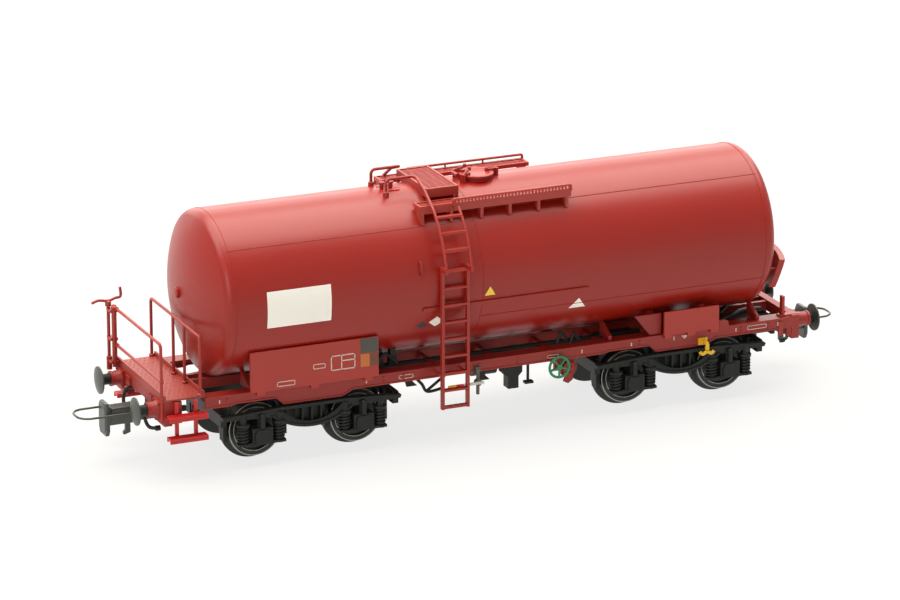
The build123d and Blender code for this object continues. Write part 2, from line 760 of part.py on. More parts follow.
# Outlet pipes down to the drain valve
with BuildPart() as outlet:
    for sign in sides.values():
        with BuildSketch(Plane(origin=(mid_x + outlet_x, 0, outlet_z), z_dir=(0, sign, 0))):
            Circle(outlet_radius)
        extrude(amount=outlet_y)
        with BuildSketch(Plane(origin=(mid_x + outlet_x, sign * outlet_y, outlet_z), z_dir=(0, sign, 0))):
            Circle(outlet_flange_radius)
        extrude(amount=outlet_flange_thickness)
    with BuildSketch(Plane(origin=(mid_x + outlet_x, 0, outlet_z))):
        Circle(outlet_radius)
    extrude(amount=tank_axis_z - tank_radius - outlet_z)
outlet.part.label = "outlet"
export_step(outlet.part, "parts/outlet.step")

# Valve handwheels
for side, sign in sides.items():
    with BuildPart() as handwheel:
        with BuildSketch(
            Plane(origin=(mid_x + handwheel_x, sign * handwheel_y, handwheel_z), x_dir=(1, 0, 0), z_dir=(0, 0, 1))
        ):
            with Locations((handwheel_radius, 0)):
                Circle(handwheel_rim_radius)
        revolve(axis=Axis((mid_x + handwheel_x, sign * handwheel_y, handwheel_z), (0, 1, 0)))
        with BuildSketch(Plane(origin=(mid_x + handwheel_x, sign * handwheel_y, handwheel_z), z_dir=(0, sign, 0))):
            with PolarLocations(handwheel_radius / 2, handwheel_spokes):
                Rectangle(handwheel_radius, handwheel_rim_radius)
            Circle(handwheel_hub_radius)
        extrude(amount=handwheel_rim_radius, both=True)
        with BuildSketch(Plane(origin=(mid_x + handwheel_x, sign * handwheel_y, handwheel_z), z_dir=(0, -sign, 0))):
            Circle(handwheel_rim_radius)
        extrude(amount=handwheel_y - sill_half_width + sill_web)
    handwheel.part.label = f"handwheel_{side}"
    export_step(handwheel.part, f"parts/handwheel_{side}.step")

# Brake cylinder and the lever box under the frame
with BuildPart() as brake_gear:
    with BuildSketch(Plane(origin=(mid_x + brake_cylinder_x, brake_cylinder_y, brake_cylinder_z), z_dir=(1, 0, 0))):
        Circle(brake_cylinder_radius)
    extrude(amount=brake_cylinder_length)
    with BuildSketch(Plane(origin=(mid_x + brake_cylinder_x + brake_cylinder_length / 2, brake_cylinder_y, brake_cylinder_z))):
        Rectangle(brake_bracket_length, brake_cylinder_radius)
    extrude(amount=centre_sill_bottom_z - brake_cylinder_z)
brake_gear.part.label = "brake_gear"
export_step(brake_gear.part, "parts/brake_gear.step")

# Bogies
for side, sign in car_ends.items():
    bogie_x = mid_x + sign * pivot_x
    with BuildPart() as core:
        with BuildSketch(Plane(origin=(bogie_x, 0, transom_bottom_z))):
            Rectangle(2 * transom_half_length, 2 * side_frame_y)
        extrude(amount=bogie_end_top_z - transom_bottom_z)
        with BuildSketch(Plane(origin=(bogie_x, 0, bogie_end_top_z))):
            Circle(centre_plate_radius)
        extrude(amount=centre_plate_top_z - bogie_end_top_z)
        with BuildSketch(Plane(origin=(bogie_x, 0, centre_plate_top_z))):
            Circle(pivot_pin_radius)
        extrude(amount=pivot_pin_top_z - centre_plate_top_z)
        for end in (-1, 1):
            with BuildSketch(
                Plane(origin=(bogie_x + end * (bogie_end_reach - bogie_end_thickness / 2), 0, bogie_end_top_z))
            ):
                Rectangle(bogie_end_thickness, 2 * side_frame_y)
            extrude(amount=-bogie_end_height)
    core.part.label = f"bogie_{side}_core"
    export_step(core.part, f"parts/bogie_{side}_core.step")
    for flank, flank_sign in sides.items():
        with BuildPart() as frame:
            with BuildSketch(Plane(origin=(bogie_x, flank_sign * side_frame_y, 0), x_dir=(1, 0, 0), z_dir=(0, -1, 0))):
                with BuildLine():
                    Polyline(*side_frame_outline, close=True)
                make_face()
                with BuildLine():
                    Polyline(*window_outline, close=True)
                make_face(mode=Mode.SUBTRACT)
            extrude(amount=-flank_sign * side_frame_thickness)
            for axle in (-wheelbase / 2, wheelbase / 2):
                with BuildSketch(Plane(origin=(bogie_x + axle, flank_sign * axle_box_inner_y, 0), x_dir=(1, 0, 0), z_dir=(0, -1, 0))):
                    with Locations((0, (axle_box_bottom_z + side_frame_tip_top_z) / 2)):
                        Rectangle(axle_box_length, side_frame_tip_top_z - axle_box_bottom_z)
                extrude(amount=-flank_sign * (axle_box_outer_y - axle_box_inner_y))
                for offset in (-spring_offset, spring_offset):
                    with BuildSketch(Plane(origin=(bogie_x + axle + offset, flank_sign * (side_frame_y + side_frame_thickness / 2), spring_bottom_z))):
                        Circle(spring_radius)
                    extrude(amount=side_frame_tip_top_z - spring_bottom_z)
                with BuildSketch(Plane(origin=(bogie_x + axle, flank_sign * axle_box_inner_y, axle_z), z_dir=(0, flank_sign, 0))):
                    Circle(journal_radius + journal_clearance)
                extrude(amount=journal_reach + journal_clearance - axle_box_inner_y, mode=Mode.SUBTRACT)
        frame.part.label = f"bogie_{side}_{flank}"
        export_step(frame.part, f"parts/bogie_{side}_{flank}.step")
    with BuildPart() as shoes:
        for axle in (-wheelbase / 2, wheelbase / 2):
            for inner in (-1, 1):
                shoe_x = bogie_x + axle + inner * (tread_radius + brake_shoe_gap)
                for flank_sign in sides.values():
                    with BuildSketch(Plane(origin=(shoe_x, flank_sign * brake_shoe_y, axle_z - brake_shoe_height / 2))):
                        with Locations((inner * brake_shoe_thickness / 2, 0)):
                            Rectangle(brake_shoe_thickness, brake_shoe_width)
                    extrude(amount=bogie_end_top_z - axle_z + brake_shoe_height / 2)
    shoes.part.label = f"brake_shoes_{side}"
    export_step(shoes.part, f"parts/brake_shoes_{side}.step")

# Couplers with their lifting loops
for side, sign, face_x in coupler_table:
    with BuildPart() as coupler:
        with BuildSketch(Plane(origin=(face_x + sign * (coupler_plate_reach - coupler_plate[0] / 2), 0, coupler_plate_z))):
            Rectangle(coupler_plate[0], coupler_plate[1])
        extrude(amount=coupler_plate[2])
        with BuildSketch(
            Plane(origin=(face_x + sign * (coupler_plate_reach - coupler_plate[0] - coupler_body[0] / 2), 0, coupler_body_z))
        ):
            Rectangle(coupler_body[0], coupler_body[1])
        extrude(amount=coupler_body[2])
        with BuildSketch(
            Plane(
                origin=(face_x - sign * loop_pivot_inset, -coupler_body[1] / 2, loop_z),
                x_dir=(1, 0, 0),
                z_dir=(0, 1, 0),
            )
        ):
            Circle(loop_wire_radius + loop_clearance)
        extrude(amount=coupler_body[1], mode=Mode.SUBTRACT)
        shaft_length = coupler_pivot_inset + coupler_plate_reach - coupler_plate[0] - coupler_body[0]
        with BuildSketch(Plane(origin=(face_x - sign * (coupler_pivot_inset - shaft_length / 2), 0, coupler_body_z))):
            Rectangle(shaft_length, coupler_shaft[0])
            with Locations((-sign * shaft_length / 2, 0)):
                Circle(coupler_eye_radius)
                Circle(coupler_pin_radius + coupler_pin_clearance, mode=Mode.SUBTRACT)
        extrude(amount=coupler_shaft[1])
    coupler.part.label = f"coupler_{side}"
    export_step(coupler.part, f"parts/coupler_{side}.step")
    with BuildPart() as pocket:
        pocket_z = coupler_body_z + coupler_shaft[1] + coupler_pocket_gap
        pivot_spot = (face_x - sign * coupler_pivot_inset, 0)
        with BuildSketch(Plane(origin=(*pivot_spot, pocket_z))):
            Rectangle(*coupler_pocket)
        extrude(amount=centre_sill_bottom_z - pocket_z)
        with BuildSketch(Plane(origin=(*pivot_spot, pocket_z))):
            Circle(coupler_pin_radius)
        extrude(amount=-(coupler_shaft[1] + 2 * coupler_pocket_gap))
        with BuildSketch(Plane(origin=(*pivot_spot, coupler_body_z - coupler_pocket_gap))):
            Circle(coupler_eye_radius - coupler_pin_head / 2)
        extrude(amount=-coupler_pin_head)
    pocket.part.label = f"coupler_pocket_{side}"
    export_step(pocket.part, f"parts/coupler_pocket_{side}.step")
    with BuildPart() as loop:
        with BuildLine() as loop_path:
            FilletPolyline(
                (face_x - sign * loop_pivot_inset, -loop_half_width, loop_z),
                (face_x + sign * (coupler_plate_reach + coupler_loop_reach), -loop_half_width, loop_z),
                (face_x + sign * (coupler_plate_reach + coupler_loop_reach), loop_half_width, loop_z),
                (face_x - sign * loop_pivot_inset, loop_half_width, loop_z),
                radius=loop_half_width * 0.8,
            )
        with BuildSketch(Plane(origin=loop_path.line @ 0, z_dir=loop_path.line % 0)):
            Circle(loop_wire_radius)
        sweep(path=loop_path.line)
        with BuildSketch(Plane(origin=(face_x - sign * loop_pivot_inset, -loop_half_width, loop_z), z_dir=(0, 1, 0))):
            Circle(loop_wire_radius)
        extrude(amount=2 * loop_half_width)
    loop.part.label = f"loop_{side}"
    export_step(loop.part, f"parts/loop_{side}.step")

# Wheelsets
axle_positions = [
    (1, -pivot_x - wheelbase / 2),
    (2, -pivot_x + wheelbase / 2),
    (3, pivot_x - wheelbase / 2),
    (4, pivot_x + wheelbase / 2),
]
for number, axle_x in axle_positions:
    with BuildPart() as wheels:
        for sign in sides.values():
            with BuildSketch(Plane(origin=(mid_x + axle_x, 0, axle_z), x_dir=(0, sign, 0), z_dir=(-sign, 0, 0))):
                with BuildLine():
                    Polyline(
                        (wheel_back_y, axle_radius),
                        (wheel_back_y, flange_radius),
                        (wheel_back_y + flange_width * flange_crest_share, flange_radius),
                        (wheel_back_y + flange_width, tread_radius + flange_depth * flange_root_share),
                        (wheel_face_y, tread_radius),
                        (wheel_face_y, rim_inner_radius),
                        (wheel_face_y - wheel_web_inset, rim_inner_radius),
                        (wheel_face_y - wheel_web_inset, hub_radius),
                        (wheel_face_y, hub_radius),
                        (wheel_face_y, axle_radius),
                        close=True,
                    )
                make_face()
            revolve(axis=Axis((mid_x + axle_x, 0, axle_z), (0, 1, 0)))
        with BuildSketch(Plane(origin=(mid_x + axle_x, 0, axle_z), z_dir=(0, 1, 0))):
            Circle(axle_radius)
        extrude(amount=wheel_face_y, both=True)
        with BuildSketch(Plane(origin=(mid_x + axle_x, 0, axle_z), z_dir=(0, 1, 0))):
            Circle(journal_radius)
        extrude(amount=journal_reach, both=True)
    wheels.part.label = f"wheelset_{number}"
    export_step(wheels.part, f"parts/wheelset_{number}.step")
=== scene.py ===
import bpy
import bmesh
from math import asin, cos, pi, radians, sin, sqrt
from mathutils import Matrix, Vector


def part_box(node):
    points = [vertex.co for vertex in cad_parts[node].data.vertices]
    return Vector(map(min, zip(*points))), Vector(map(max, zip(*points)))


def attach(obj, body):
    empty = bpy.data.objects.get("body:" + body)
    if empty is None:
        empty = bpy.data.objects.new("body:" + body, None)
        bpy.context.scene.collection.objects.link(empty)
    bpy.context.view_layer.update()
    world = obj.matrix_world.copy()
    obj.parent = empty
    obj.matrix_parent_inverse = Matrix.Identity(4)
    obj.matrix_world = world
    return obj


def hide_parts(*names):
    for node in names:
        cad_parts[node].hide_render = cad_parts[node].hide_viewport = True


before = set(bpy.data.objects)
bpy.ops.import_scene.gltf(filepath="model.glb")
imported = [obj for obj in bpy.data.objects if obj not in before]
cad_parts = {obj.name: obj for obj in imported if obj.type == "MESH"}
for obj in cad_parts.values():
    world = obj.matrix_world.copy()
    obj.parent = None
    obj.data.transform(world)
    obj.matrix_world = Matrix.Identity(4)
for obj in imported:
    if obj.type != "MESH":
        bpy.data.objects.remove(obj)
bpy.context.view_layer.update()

# Tank shell
# The tank barrel and its two domed ends are one moulding in red plastic under a satin lacquer.
# The lacquer has a faint orange-peel skin and a slightly uneven tone.


def effect_group(name, inputs, outputs):
    """A shader node group with named float or colour sockets, ready for its nodes."""
    group = bpy.data.node_groups.new(name, "ShaderNodeTree")
    for label, kind, value in inputs:
        socket = group.interface.new_socket(name=label, in_out="INPUT", socket_type=kind)
        socket.default_value = value
    for label, kind in outputs:
        group.interface.new_socket(name=label, in_out="OUTPUT", socket_type=kind)
    entry = group.nodes.new("NodeGroupInput")
    leave = group.nodes.new("NodeGroupOutput")
    return group, entry, leave


def math_node(nodes, links, operation, *values):
    """A maths node whose inputs are sockets or numbers."""
    node = nodes.new("ShaderNodeMath")
    node.operation = operation
    for slot, value in enumerate(values):
        if isinstance(value, (int, float)):
            node.inputs[slot].default_value = value
        else:
            links.new(value, node.inputs[slot])
    return node.outputs["Value"]


# Lacquer skin: a fine grain, a soft mottling of tone and gloss, and paler, duller edges that are partly wear
# and partly a painted highlight
lacquer_skin, skin_in, skin_out = effect_group(
    "lacquer skin",
    [
        ("Colour", "NodeSocketColor", (0.5, 0.1, 0.1, 1.0)),
        ("Grain size", "NodeSocketFloat", 9000.0),
        ("Mottle", "NodeSocketFloat", 0.1),
        ("Gloss", "NodeSocketFloat", 0.35),
    ],
    [("Colour", "NodeSocketColor"), ("Roughness", "NodeSocketFloat"), ("Height", "NodeSocketFloat")],
)
skin_nodes, skin_links = lacquer_skin.nodes, lacquer_skin.links
skin_place = skin_nodes.new("ShaderNodeTexCoord")
skin_grain = skin_nodes.new("ShaderNodeTexNoise")
skin_grain.inputs["Detail"].default_value = 3.0
skin_links.new(skin_place.outputs["Object"], skin_grain.inputs["Vector"])
skin_links.new(skin_in.outputs["Grain size"], skin_grain.inputs["Scale"])
skin_cloud = skin_nodes.new("ShaderNodeTexNoise")
skin_cloud.inputs["Scale"].default_value = 90.0
skin_cloud.inputs["Detail"].default_value = 4.0
skin_links.new(skin_place.outputs["Object"], skin_cloud.inputs["Vector"])
skin_centre = math_node(skin_nodes, skin_links, "SUBTRACT", skin_cloud.outputs["Fac"], 0.5)
skin_fleck = math_node(skin_nodes, skin_links, "SUBTRACT", skin_grain.outputs["Fac"], 0.5)
skin_sum = math_node(skin_nodes, skin_links, "MULTIPLY_ADD", skin_fleck, 0.6, skin_centre)
skin_flat = math_node(skin_nodes, skin_links, "MULTIPLY_ADD", skin_sum, skin_in.outputs["Mottle"], 1.0)
# Edge mask: the edges are made paler, partly as wear and partly as a painted highlight along them.
skin_round = skin_nodes.new("ShaderNodeBevel")
skin_round.samples = 4
skin_round.inputs["Radius"].default_value = 0.00022
skin_facing = skin_nodes.new("ShaderNodeNewGeometry")
skin_dot = skin_nodes.new("ShaderNodeVectorMath")
skin_dot.operation = "DOT_PRODUCT"
skin_links.new(skin_round.outputs["Normal"], skin_dot.inputs[0])
skin_links.new(skin_facing.outputs["Normal"], skin_dot.inputs[1])
skin_edge = math_node(skin_nodes, skin_links, "SUBTRACT", 1.0, skin_dot.outputs["Value"])
skin_rub_and_highlight = math_node(skin_nodes, skin_links, "MULTIPLY", skin_edge, skin_grain.outputs["Fac"])
skin_wear_and_highlight = math_node(skin_nodes, skin_links, "MULTIPLY", skin_rub_and_highlight, 4.0)
skin_wear_and_highlight.node.use_clamp = True
skin_amount = math_node(skin_nodes, skin_links, "MULTIPLY_ADD", skin_wear_and_highlight, 0.45, skin_flat)
skin_tone = skin_nodes.new("ShaderNodeHueSaturation")
skin_links.new(skin_in.outputs["Colour"], skin_tone.inputs["Color"])
skin_links.new(skin_amount, skin_tone.inputs["Value"])
skin_matt = math_node(skin_nodes, skin_links, "MULTIPLY_ADD", skin_centre, 0.12, skin_in.outputs["Gloss"])
skin_rough = math_node(skin_nodes, skin_links, "MULTIPLY_ADD", skin_wear_and_highlight, 0.15, skin_matt)
skin_links.new(skin_tone.outputs["Color"], skin_out.inputs["Colour"])
skin_links.new(skin_rough, skin_out.inputs["Roughness"])
skin_links.new(skin_grain.outputs["Fac"], skin_out.inputs["Height"])


def lacquer(name, colour, gloss=0.35, mottle=0.1, grain=9000.0, bump=0.00002, specular=0.5, metallic=0.0):
    """A painted or moulded finish: the lacquer skin over one colour."""
    finish = bpy.data.materials.new(name)
    finish.use_nodes = True
    nodes, links = finish.node_tree.nodes, finish.node_tree.links
    surface = nodes["Principled BSDF"]
    surface.inputs["Metallic"].default_value = metallic
    surface.inputs["Specular IOR Level"].default_value = specular
    skin = nodes.new("ShaderNodeGroup")
    skin.node_tree = lacquer_skin
    skin.inputs["Colour"].default_value = (*colour, 1.0)
    skin.inputs["Grain size"].default_value = grain
    skin.inputs["Mottle"].default_value = mottle
    skin.inputs["Gloss"].default_value = gloss
    relief = nodes.new("ShaderNodeBump")
    relief.inputs["Distance"].default_value = bump
    relief.inputs["Strength"].default_value = 0.3
    links.new(skin.outputs["Colour"], surface.inputs["Base Color"])
    links.new(skin.outputs["Roughness"], surface.inputs["Roughness"])
    links.new(skin.outputs["Height"], relief.inputs["Height"])
    links.new(relief.outputs["Normal"], surface.inputs["Normal"])
    return finish


def dress(finish, *names):
    """Gives CAD nodes their finish."""
    for name in names:
        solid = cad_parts[name]
        solid.data.materials.clear()
        solid.data.materials.append(finish)


tank_red = lacquer("tank red lacquer", (0.30, 0.0105, 0.004), gloss=0.34, specular=0.46)
dress(tank_red, "tank_barrel", "tank_end_left", "tank_end_right")

# Tank seams and the drip strip
# The model has fine raised weld lines along and around the barrel, moulded with it.
# A long flat strip and a small grab handle sit on the near flank.


def box_of(name):
    """A node's lowest and highest corner at rest, as vectors."""
    low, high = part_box(name)
    return Vector(low), Vector(high)


MM = 0.001
core_low, core_high = box_of("bogie_left_core")
other_low, other_high = box_of("bogie_right_core")
mid_x = (core_low.x + core_high.x + other_low.x + other_high.x) / 4
barrel_low, barrel_high = box_of("tank_barrel")
tank_radius = (barrel_high.y - barrel_low.y) / 2
tank_axis_z = barrel_low.z + tank_radius


def car(x, y, z):
    """A place on the car in metres: mm from the middle between the bogies, across, and up from the floor."""
    return Vector((mid_x + x * MM, y * MM, z * MM))


def on_tank(x, angle, lift=0.0):
    """A place on the barrel: mm along the car, degrees above the near side's middle, and mm off the skin."""
    reach = tank_radius + lift * MM
    turn = radians(angle)
    return Vector((mid_x + x * MM, -reach * cos(turn), tank_axis_z + reach * sin(turn)))


def add_piece(name, mesh, finish, body="car", smooth=True):
    """Puts a finished mesh into the scene as one piece that rides on a body."""
    piece = bpy.data.objects.new(name, mesh)
    bpy.context.scene.collection.objects.link(piece)
    mesh.materials.append(finish)
    if smooth:
        mesh.polygons.foreach_set("use_smooth", [True] * len(mesh.polygons))
        mesh.set_sharp_from_angle(angle=radians(35))
    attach(piece, body)
    return piece


def mesh_from(build, name):
    """Turns a bmesh into a mesh and frees it."""
    mesh = bpy.data.meshes.new(name)
    bmesh.ops.recalc_face_normals(build, faces=build.faces)
    build.to_mesh(mesh)
    build.free()
    return mesh


def add_tube(build, points, radius, sides=8, closed=False):
    """Adds a round tube through a line of points to a bmesh, with mitred bends and closed ends."""
    points = [Vector(point) for point in points]
    count = len(points)
    rings = []
    normal = None
    for index, point in enumerate(points):
        before = points[index - 1] if closed or index > 0 else None
        after = points[(index + 1) % count] if closed or index < count - 1 else None
        if before is None:
            tangent = (after - point).normalized()
        elif after is None:
            tangent = (point - before).normalized()
        else:
            tangent = ((point - before).normalized() + (after - point).normalized()).normalized()
        if normal is None:
            normal = tangent.orthogonal().normalized()
        else:
            normal = (normal - tangent * normal.dot(tangent)).normalized()
        side = tangent.cross(normal)
        ring = []
        for step in range(sides):
            turn = 2 * pi * step / sides
            ring.append(build.verts.new(point + radius * (cos(turn) * normal + sin(turn) * side)))
        rings.append(ring)
    pairs = list(zip(rings, rings[1:]))
    if closed:
        pairs.append((rings[-1], rings[0]))
    for low, high in pairs:
        for step in range(sides):
            after = (step + 1) % sides
            build.faces.new((low[step], low[after], high[after], high[step]))
    if not closed:
        build.faces.new(rings[0])
        build.faces.new(rings[-1])


seams = bmesh.new()
seam_radius, end_seam_inset = 0.11 * MM, 0.35
left_edge, right_edge = (barrel_low.x - mid_x) / MM, (barrel_high.x - mid_x) / MM
ring_seam_x = -4.5
ring_steps = 96
for x in (left_edge + end_seam_inset, ring_seam_x, right_edge - end_seam_inset):
    ring = [on_tank(x, 360 * step / ring_steps) for step in range(ring_steps)]
    add_tube(seams, ring, seam_radius, sides=6, closed=True)
for x_from, x_to, angle in (
    (left_edge, ring_seam_x, 44.4),
    (ring_seam_x, right_edge, 52.4),
    (ring_seam_x, right_edge, -27.0),
    (left_edge, ring_seam_x, 135.6),
    (ring_seam_x, right_edge, 207.0),
):
    add_tube(seams, [on_tank(x_from, angle), on_tank(x_to, angle)], seam_radius, sides=6)
add_piece("tank_seams", mesh_from(seams, "tank_seams"), tank_red)


def tank_patch(name, corners, thickness, finish, cuts=7, lift=0.0):
    """A thin plate on the barrel, from three or four corners as (mm along the car, degrees)."""
    build = bmesh.new()
    flat = [build.verts.new((x, angle, 0.0)) for x, angle in corners]
    build.faces.new(flat)
    bmesh.ops.subdivide_edges(build, edges=build.edges[:], cuts=cuts, use_grid_fill=True)
    grown = bmesh.ops.extrude_face_region(build, geom=build.faces[:])
    top = {part for part in grown["geom"] if isinstance(part, bmesh.types.BMVert)}
    sunk = -0.05
    for vert in build.verts:
        x, angle, _ = vert.co
        vert.co = on_tank(x, angle, lift + thickness if vert in top else sunk)
    return add_piece(name, mesh_from(build, name), finish)


strip_left, strip_right, strip_upper, strip_lower = -16.9, 17.7, -13.4, -15.8
strip_thickness = 0.32
strip_corners = [
    (strip_left, strip_upper), (strip_right, strip_upper),
    (strip_right, strip_lower), (strip_left, strip_lower),
]
tank_patch("drip_strip", strip_corners, strip_thickness, tank_red)
handle = bmesh.new()
handle_x, handle_radius = -17.4, 0.16
handle_foot, handle_bend, handle_grip = -0.1, 0.55, 0.75
handle_line = [on_tank(handle_x, 10.8, handle_foot), on_tank(handle_x, 11.2, handle_bend)]
handle_line += [on_tank(handle_x, angle, handle_grip) for angle in (12.6, 15.3, 18.0)]
handle_line += [on_tank(handle_x, 19.4, handle_bend), on_tank(handle_x, 19.8, handle_foot)]
add_tube(handle, handle_line, handle_radius * MM)
add_piece("flank_handle", mesh_from(handle, "flank_handle"), tank_red)

# Signs on the tank
# The real model has printed signs: a white plate, warning triangles, a diamond and small white marks.
# They are thin printed films, left blank, on the near flank and, turned round, on the far one.
sign_white = lacquer("sign white print", (0.97, 0.96, 0.93), gloss=0.45, mottle=0.04)
sign_yellow = lacquer("sign yellow print", (0.9, 0.66, 0.05), gloss=0.45, mottle=0.04)
sign_dark = lacquer("sign dark print", (0.04, 0.03, 0.03), gloss=0.5, mottle=0.04)
film = 0.035


def mirrored(corners):
    """The same place on the far flank, seen from that side in the same order along the car."""
    return [(x, 180 - angle) for x, angle in corners]


white_plate = [(-48.7, 12.8), (-35.8, 12.8), (-35.8, -12.8), (-48.7, -12.8)]
yellow_triangle = [(-4.2, -10.0), (-2.0, -10.0), (-3.1, -3.6)]
white_triangle = [(14.4, -31.2), (17.8, -31.2), (16.1, -22.4)]
white_diamond = [(-15.2, -26.4), (-13.7, -21.8), (-12.2, -26.4), (-13.7, -31.0)]
grey_diamond = [(-17.8, -28.0), (-16.6, -24.4), (-15.4, -28.0), (-16.6, -31.6)]
for side in ("near", "far"):
    for name, corners, thickness, finish, slot, cuts in (
        ("blank_plate_", white_plate, film, sign_white, None, 11),
        ("yellow_triangle_", yellow_triangle, film, sign_yellow, None, 3),
        ("white_triangle_", white_triangle, film, sign_white, None, 3),
        ("white_diamond_", white_diamond, film, sign_white, None, 3),
        ("grey_diamond_", grey_diamond, film / 2, sign_dark, "black", 3),
    ):
        placed = corners if side == "near" else mirrored(corners)
        tank_patch(name + side, placed, thickness, finish, cuts=cuts)


def side_view(x, z, y):
    """A place from a drawing seen from the side: along the car, up, and its depth across."""
    return car(x, y, z)


def end_view(y, z, x):
    """A place from a drawing seen from the end: across, up, and its depth along the car."""
    return car(x, y, z)


def top_view(x, y, z):
    """A place from a drawing seen from above: along the car, across, and its height."""
    return car(x, y, z)


def add_prism(build, outline, view, low, high):
    """Adds a flat outline in mm that is extruded between two depths in mm."""
    front = [build.verts.new(view(u, v, low)) for u, v in outline]
    back = [build.verts.new(view(u, v, high)) for u, v in outline]
    build.faces.new(front)
    build.faces.new(back)
    for index in range(len(outline)):
        after = (index + 1) % len(outline)
        build.faces.new((front[index], front[after], back[after], back[index]))


def add_block(build, xs, ys, zs):
    """Adds a plain block between two corners, as part of a larger piece."""
    outline = [(xs[0], ys[0]), (xs[1], ys[0]), (xs[1], ys[1]), (xs[0], ys[1])]
    add_prism(build, outline, top_view, zs[0], zs[1])


def add_lathe(build, profile, centre, axis, sides=28, turn_start=0.0):
    """Adds a turned form: its profile is (mm along the axis, mm radius) from end to end."""
    axis = Vector(axis).normalized()
    first = axis.orthogonal().normalized()
    second = axis.cross(first)
    rings = []
    for reach, radius in profile:
        ring = []
        for step in range(sides):
            turn = turn_start + 2 * pi * step / sides
            edge = radius * MM * (cos(turn) * first + sin(turn) * second)
            ring.append(build.verts.new(centre + axis * reach * MM + edge))
        rings.append(ring)
    for low, high in zip(rings, rings[1:]):
        for step in range(sides):
            after = (step + 1) % sides
            build.faces.new((low[step], low[after], high[after], high[step]))
    build.faces.new(rings[0])
    build.faces.new(rings[-1])


def add_bolts(build, spots, axis, radius=0.28, height=0.3):
    """Adds hexagon bolt heads that stand on a surface, sunk a little into it."""
    for spot in spots:
        profile = [(-0.05, radius), (height * 0.75, radius), (height, radius * 0.75)]
        add_lathe(build, profile, spot, axis, sides=6)


def round_piece(piece, width=0.08, segments=2):
    """Breaks a piece's sharp edges, as a moulding has them."""
    bevel = piece.modifiers.new("broken edges", "BEVEL")
    bevel.width = width * MM
    bevel.segments = segments
    bevel.limit_method = "ANGLE"
    bevel.angle_limit = radians(35)
    return piece


def wiggle(points, steps=6):
    """A smooth line through a few places, for a bent rod or hose."""
    points = [Vector(point) for point in points]
    ends = [points[0]] + points + [points[-1]]
    line = []
    for a, b, c, d in zip(ends, ends[1:], ends[2:], ends[3:]):
        for step in range(steps):
            t = step / steps
            lead = 2 * b + (c - a) * t
            bend = (2 * a - 5 * b + 4 * c - d) * t * t
            turn = (3 * b - a - 3 * c + d) * t ** 3
            line.append(0.5 * (lead + bend + turn))
    return line + [points[-1]]


# Tank end bosses and the end guard
# Each domed end has a small round boss in its middle, moulded with it.
# A curved red guard plate follows the right end on five studs; it is a separate moulding on the real model.
left_tip_x, right_tip_x = box_of("tank_end_left")[0].x, box_of("tank_end_right")[1].x
boss_profile = [(-0.9, 1.05), (0.4, 1.05), (0.55, 0.9), (0.6, 0.4)]
boss_z = tank_axis_z + 0.6 * MM
bosses = bmesh.new()
for tip_x, sign in ((left_tip_x, -1), (right_tip_x, 1)):
    add_lathe(bosses, boss_profile, Vector((tip_x, 0.0, boss_z)), (sign, 0, 0))
add_piece("tank_end_bosses", mesh_from(bosses, "tank_end_bosses"), tank_red)

fitting_red = lacquer("fitting red lacquer", (0.34, 0.022, 0.013), gloss=0.42)
guard = bmesh.new()
crown_radius, knuckle_radius = 32.0, 2.0
crown_offset = sqrt((crown_radius - knuckle_radius) ** 2 - (tank_radius / MM - knuckle_radius) ** 2)
crown_x = right_edge - crown_offset
guard_inner, guard_outer = crown_radius + 1.0, crown_radius + 2.2
guard_half_width, guard_middle_drop, guard_lean = 14.0, -6.6, 0.12
guard_steps, guard_reach = 20, asin(guard_half_width / guard_inner)
guard_line = [(2 * step / guard_steps - 1) * guard_reach for step in range(guard_steps + 1)]
guard_drops = [-9.8, -8.4, -6.9, -5.4, -4.1]
guard_section = []
for radius, drops in ((guard_outer, guard_drops), (guard_inner, reversed(guard_drops))):
    for drop in drops:
        guard_section.append((sqrt(radius ** 2 - drop ** 2) + guard_lean * (drop - guard_middle_drop), drop))
guard_rings = []
for turn in guard_line:
    ring = [
        guard.verts.new(car(crown_x + reach * cos(turn), reach * sin(turn), tank_axis_z / MM + drop))
        for reach, drop in guard_section
    ]
    guard_rings.append(ring)
for low, high in zip(guard_rings, guard_rings[1:]):
    for step in range(len(low)):
        after = (step + 1) % len(low)
        guard.faces.new((low[step], low[after], high[after], high[step]))
guard.faces.new(guard_rings[0])
guard.faces.new(guard_rings[-1])
for share in (-0.86, -0.43, 0.0, 0.43, 0.86):
    stud_y = share * guard_half_width
    stud_x = crown_x + sqrt(guard_inner ** 2 - stud_y ** 2)
    stud_z = tank_axis_z / MM + guard_middle_drop
    add_tube(guard, [car(stud_x - 3.2, stud_y, stud_z), car(stud_x - 0.3, stud_y, stud_z)], 0.35 * MM)
round_piece(add_piece("end_guard", mesh_from(guard, "end_guard"), fitting_red), 0.5, 4)

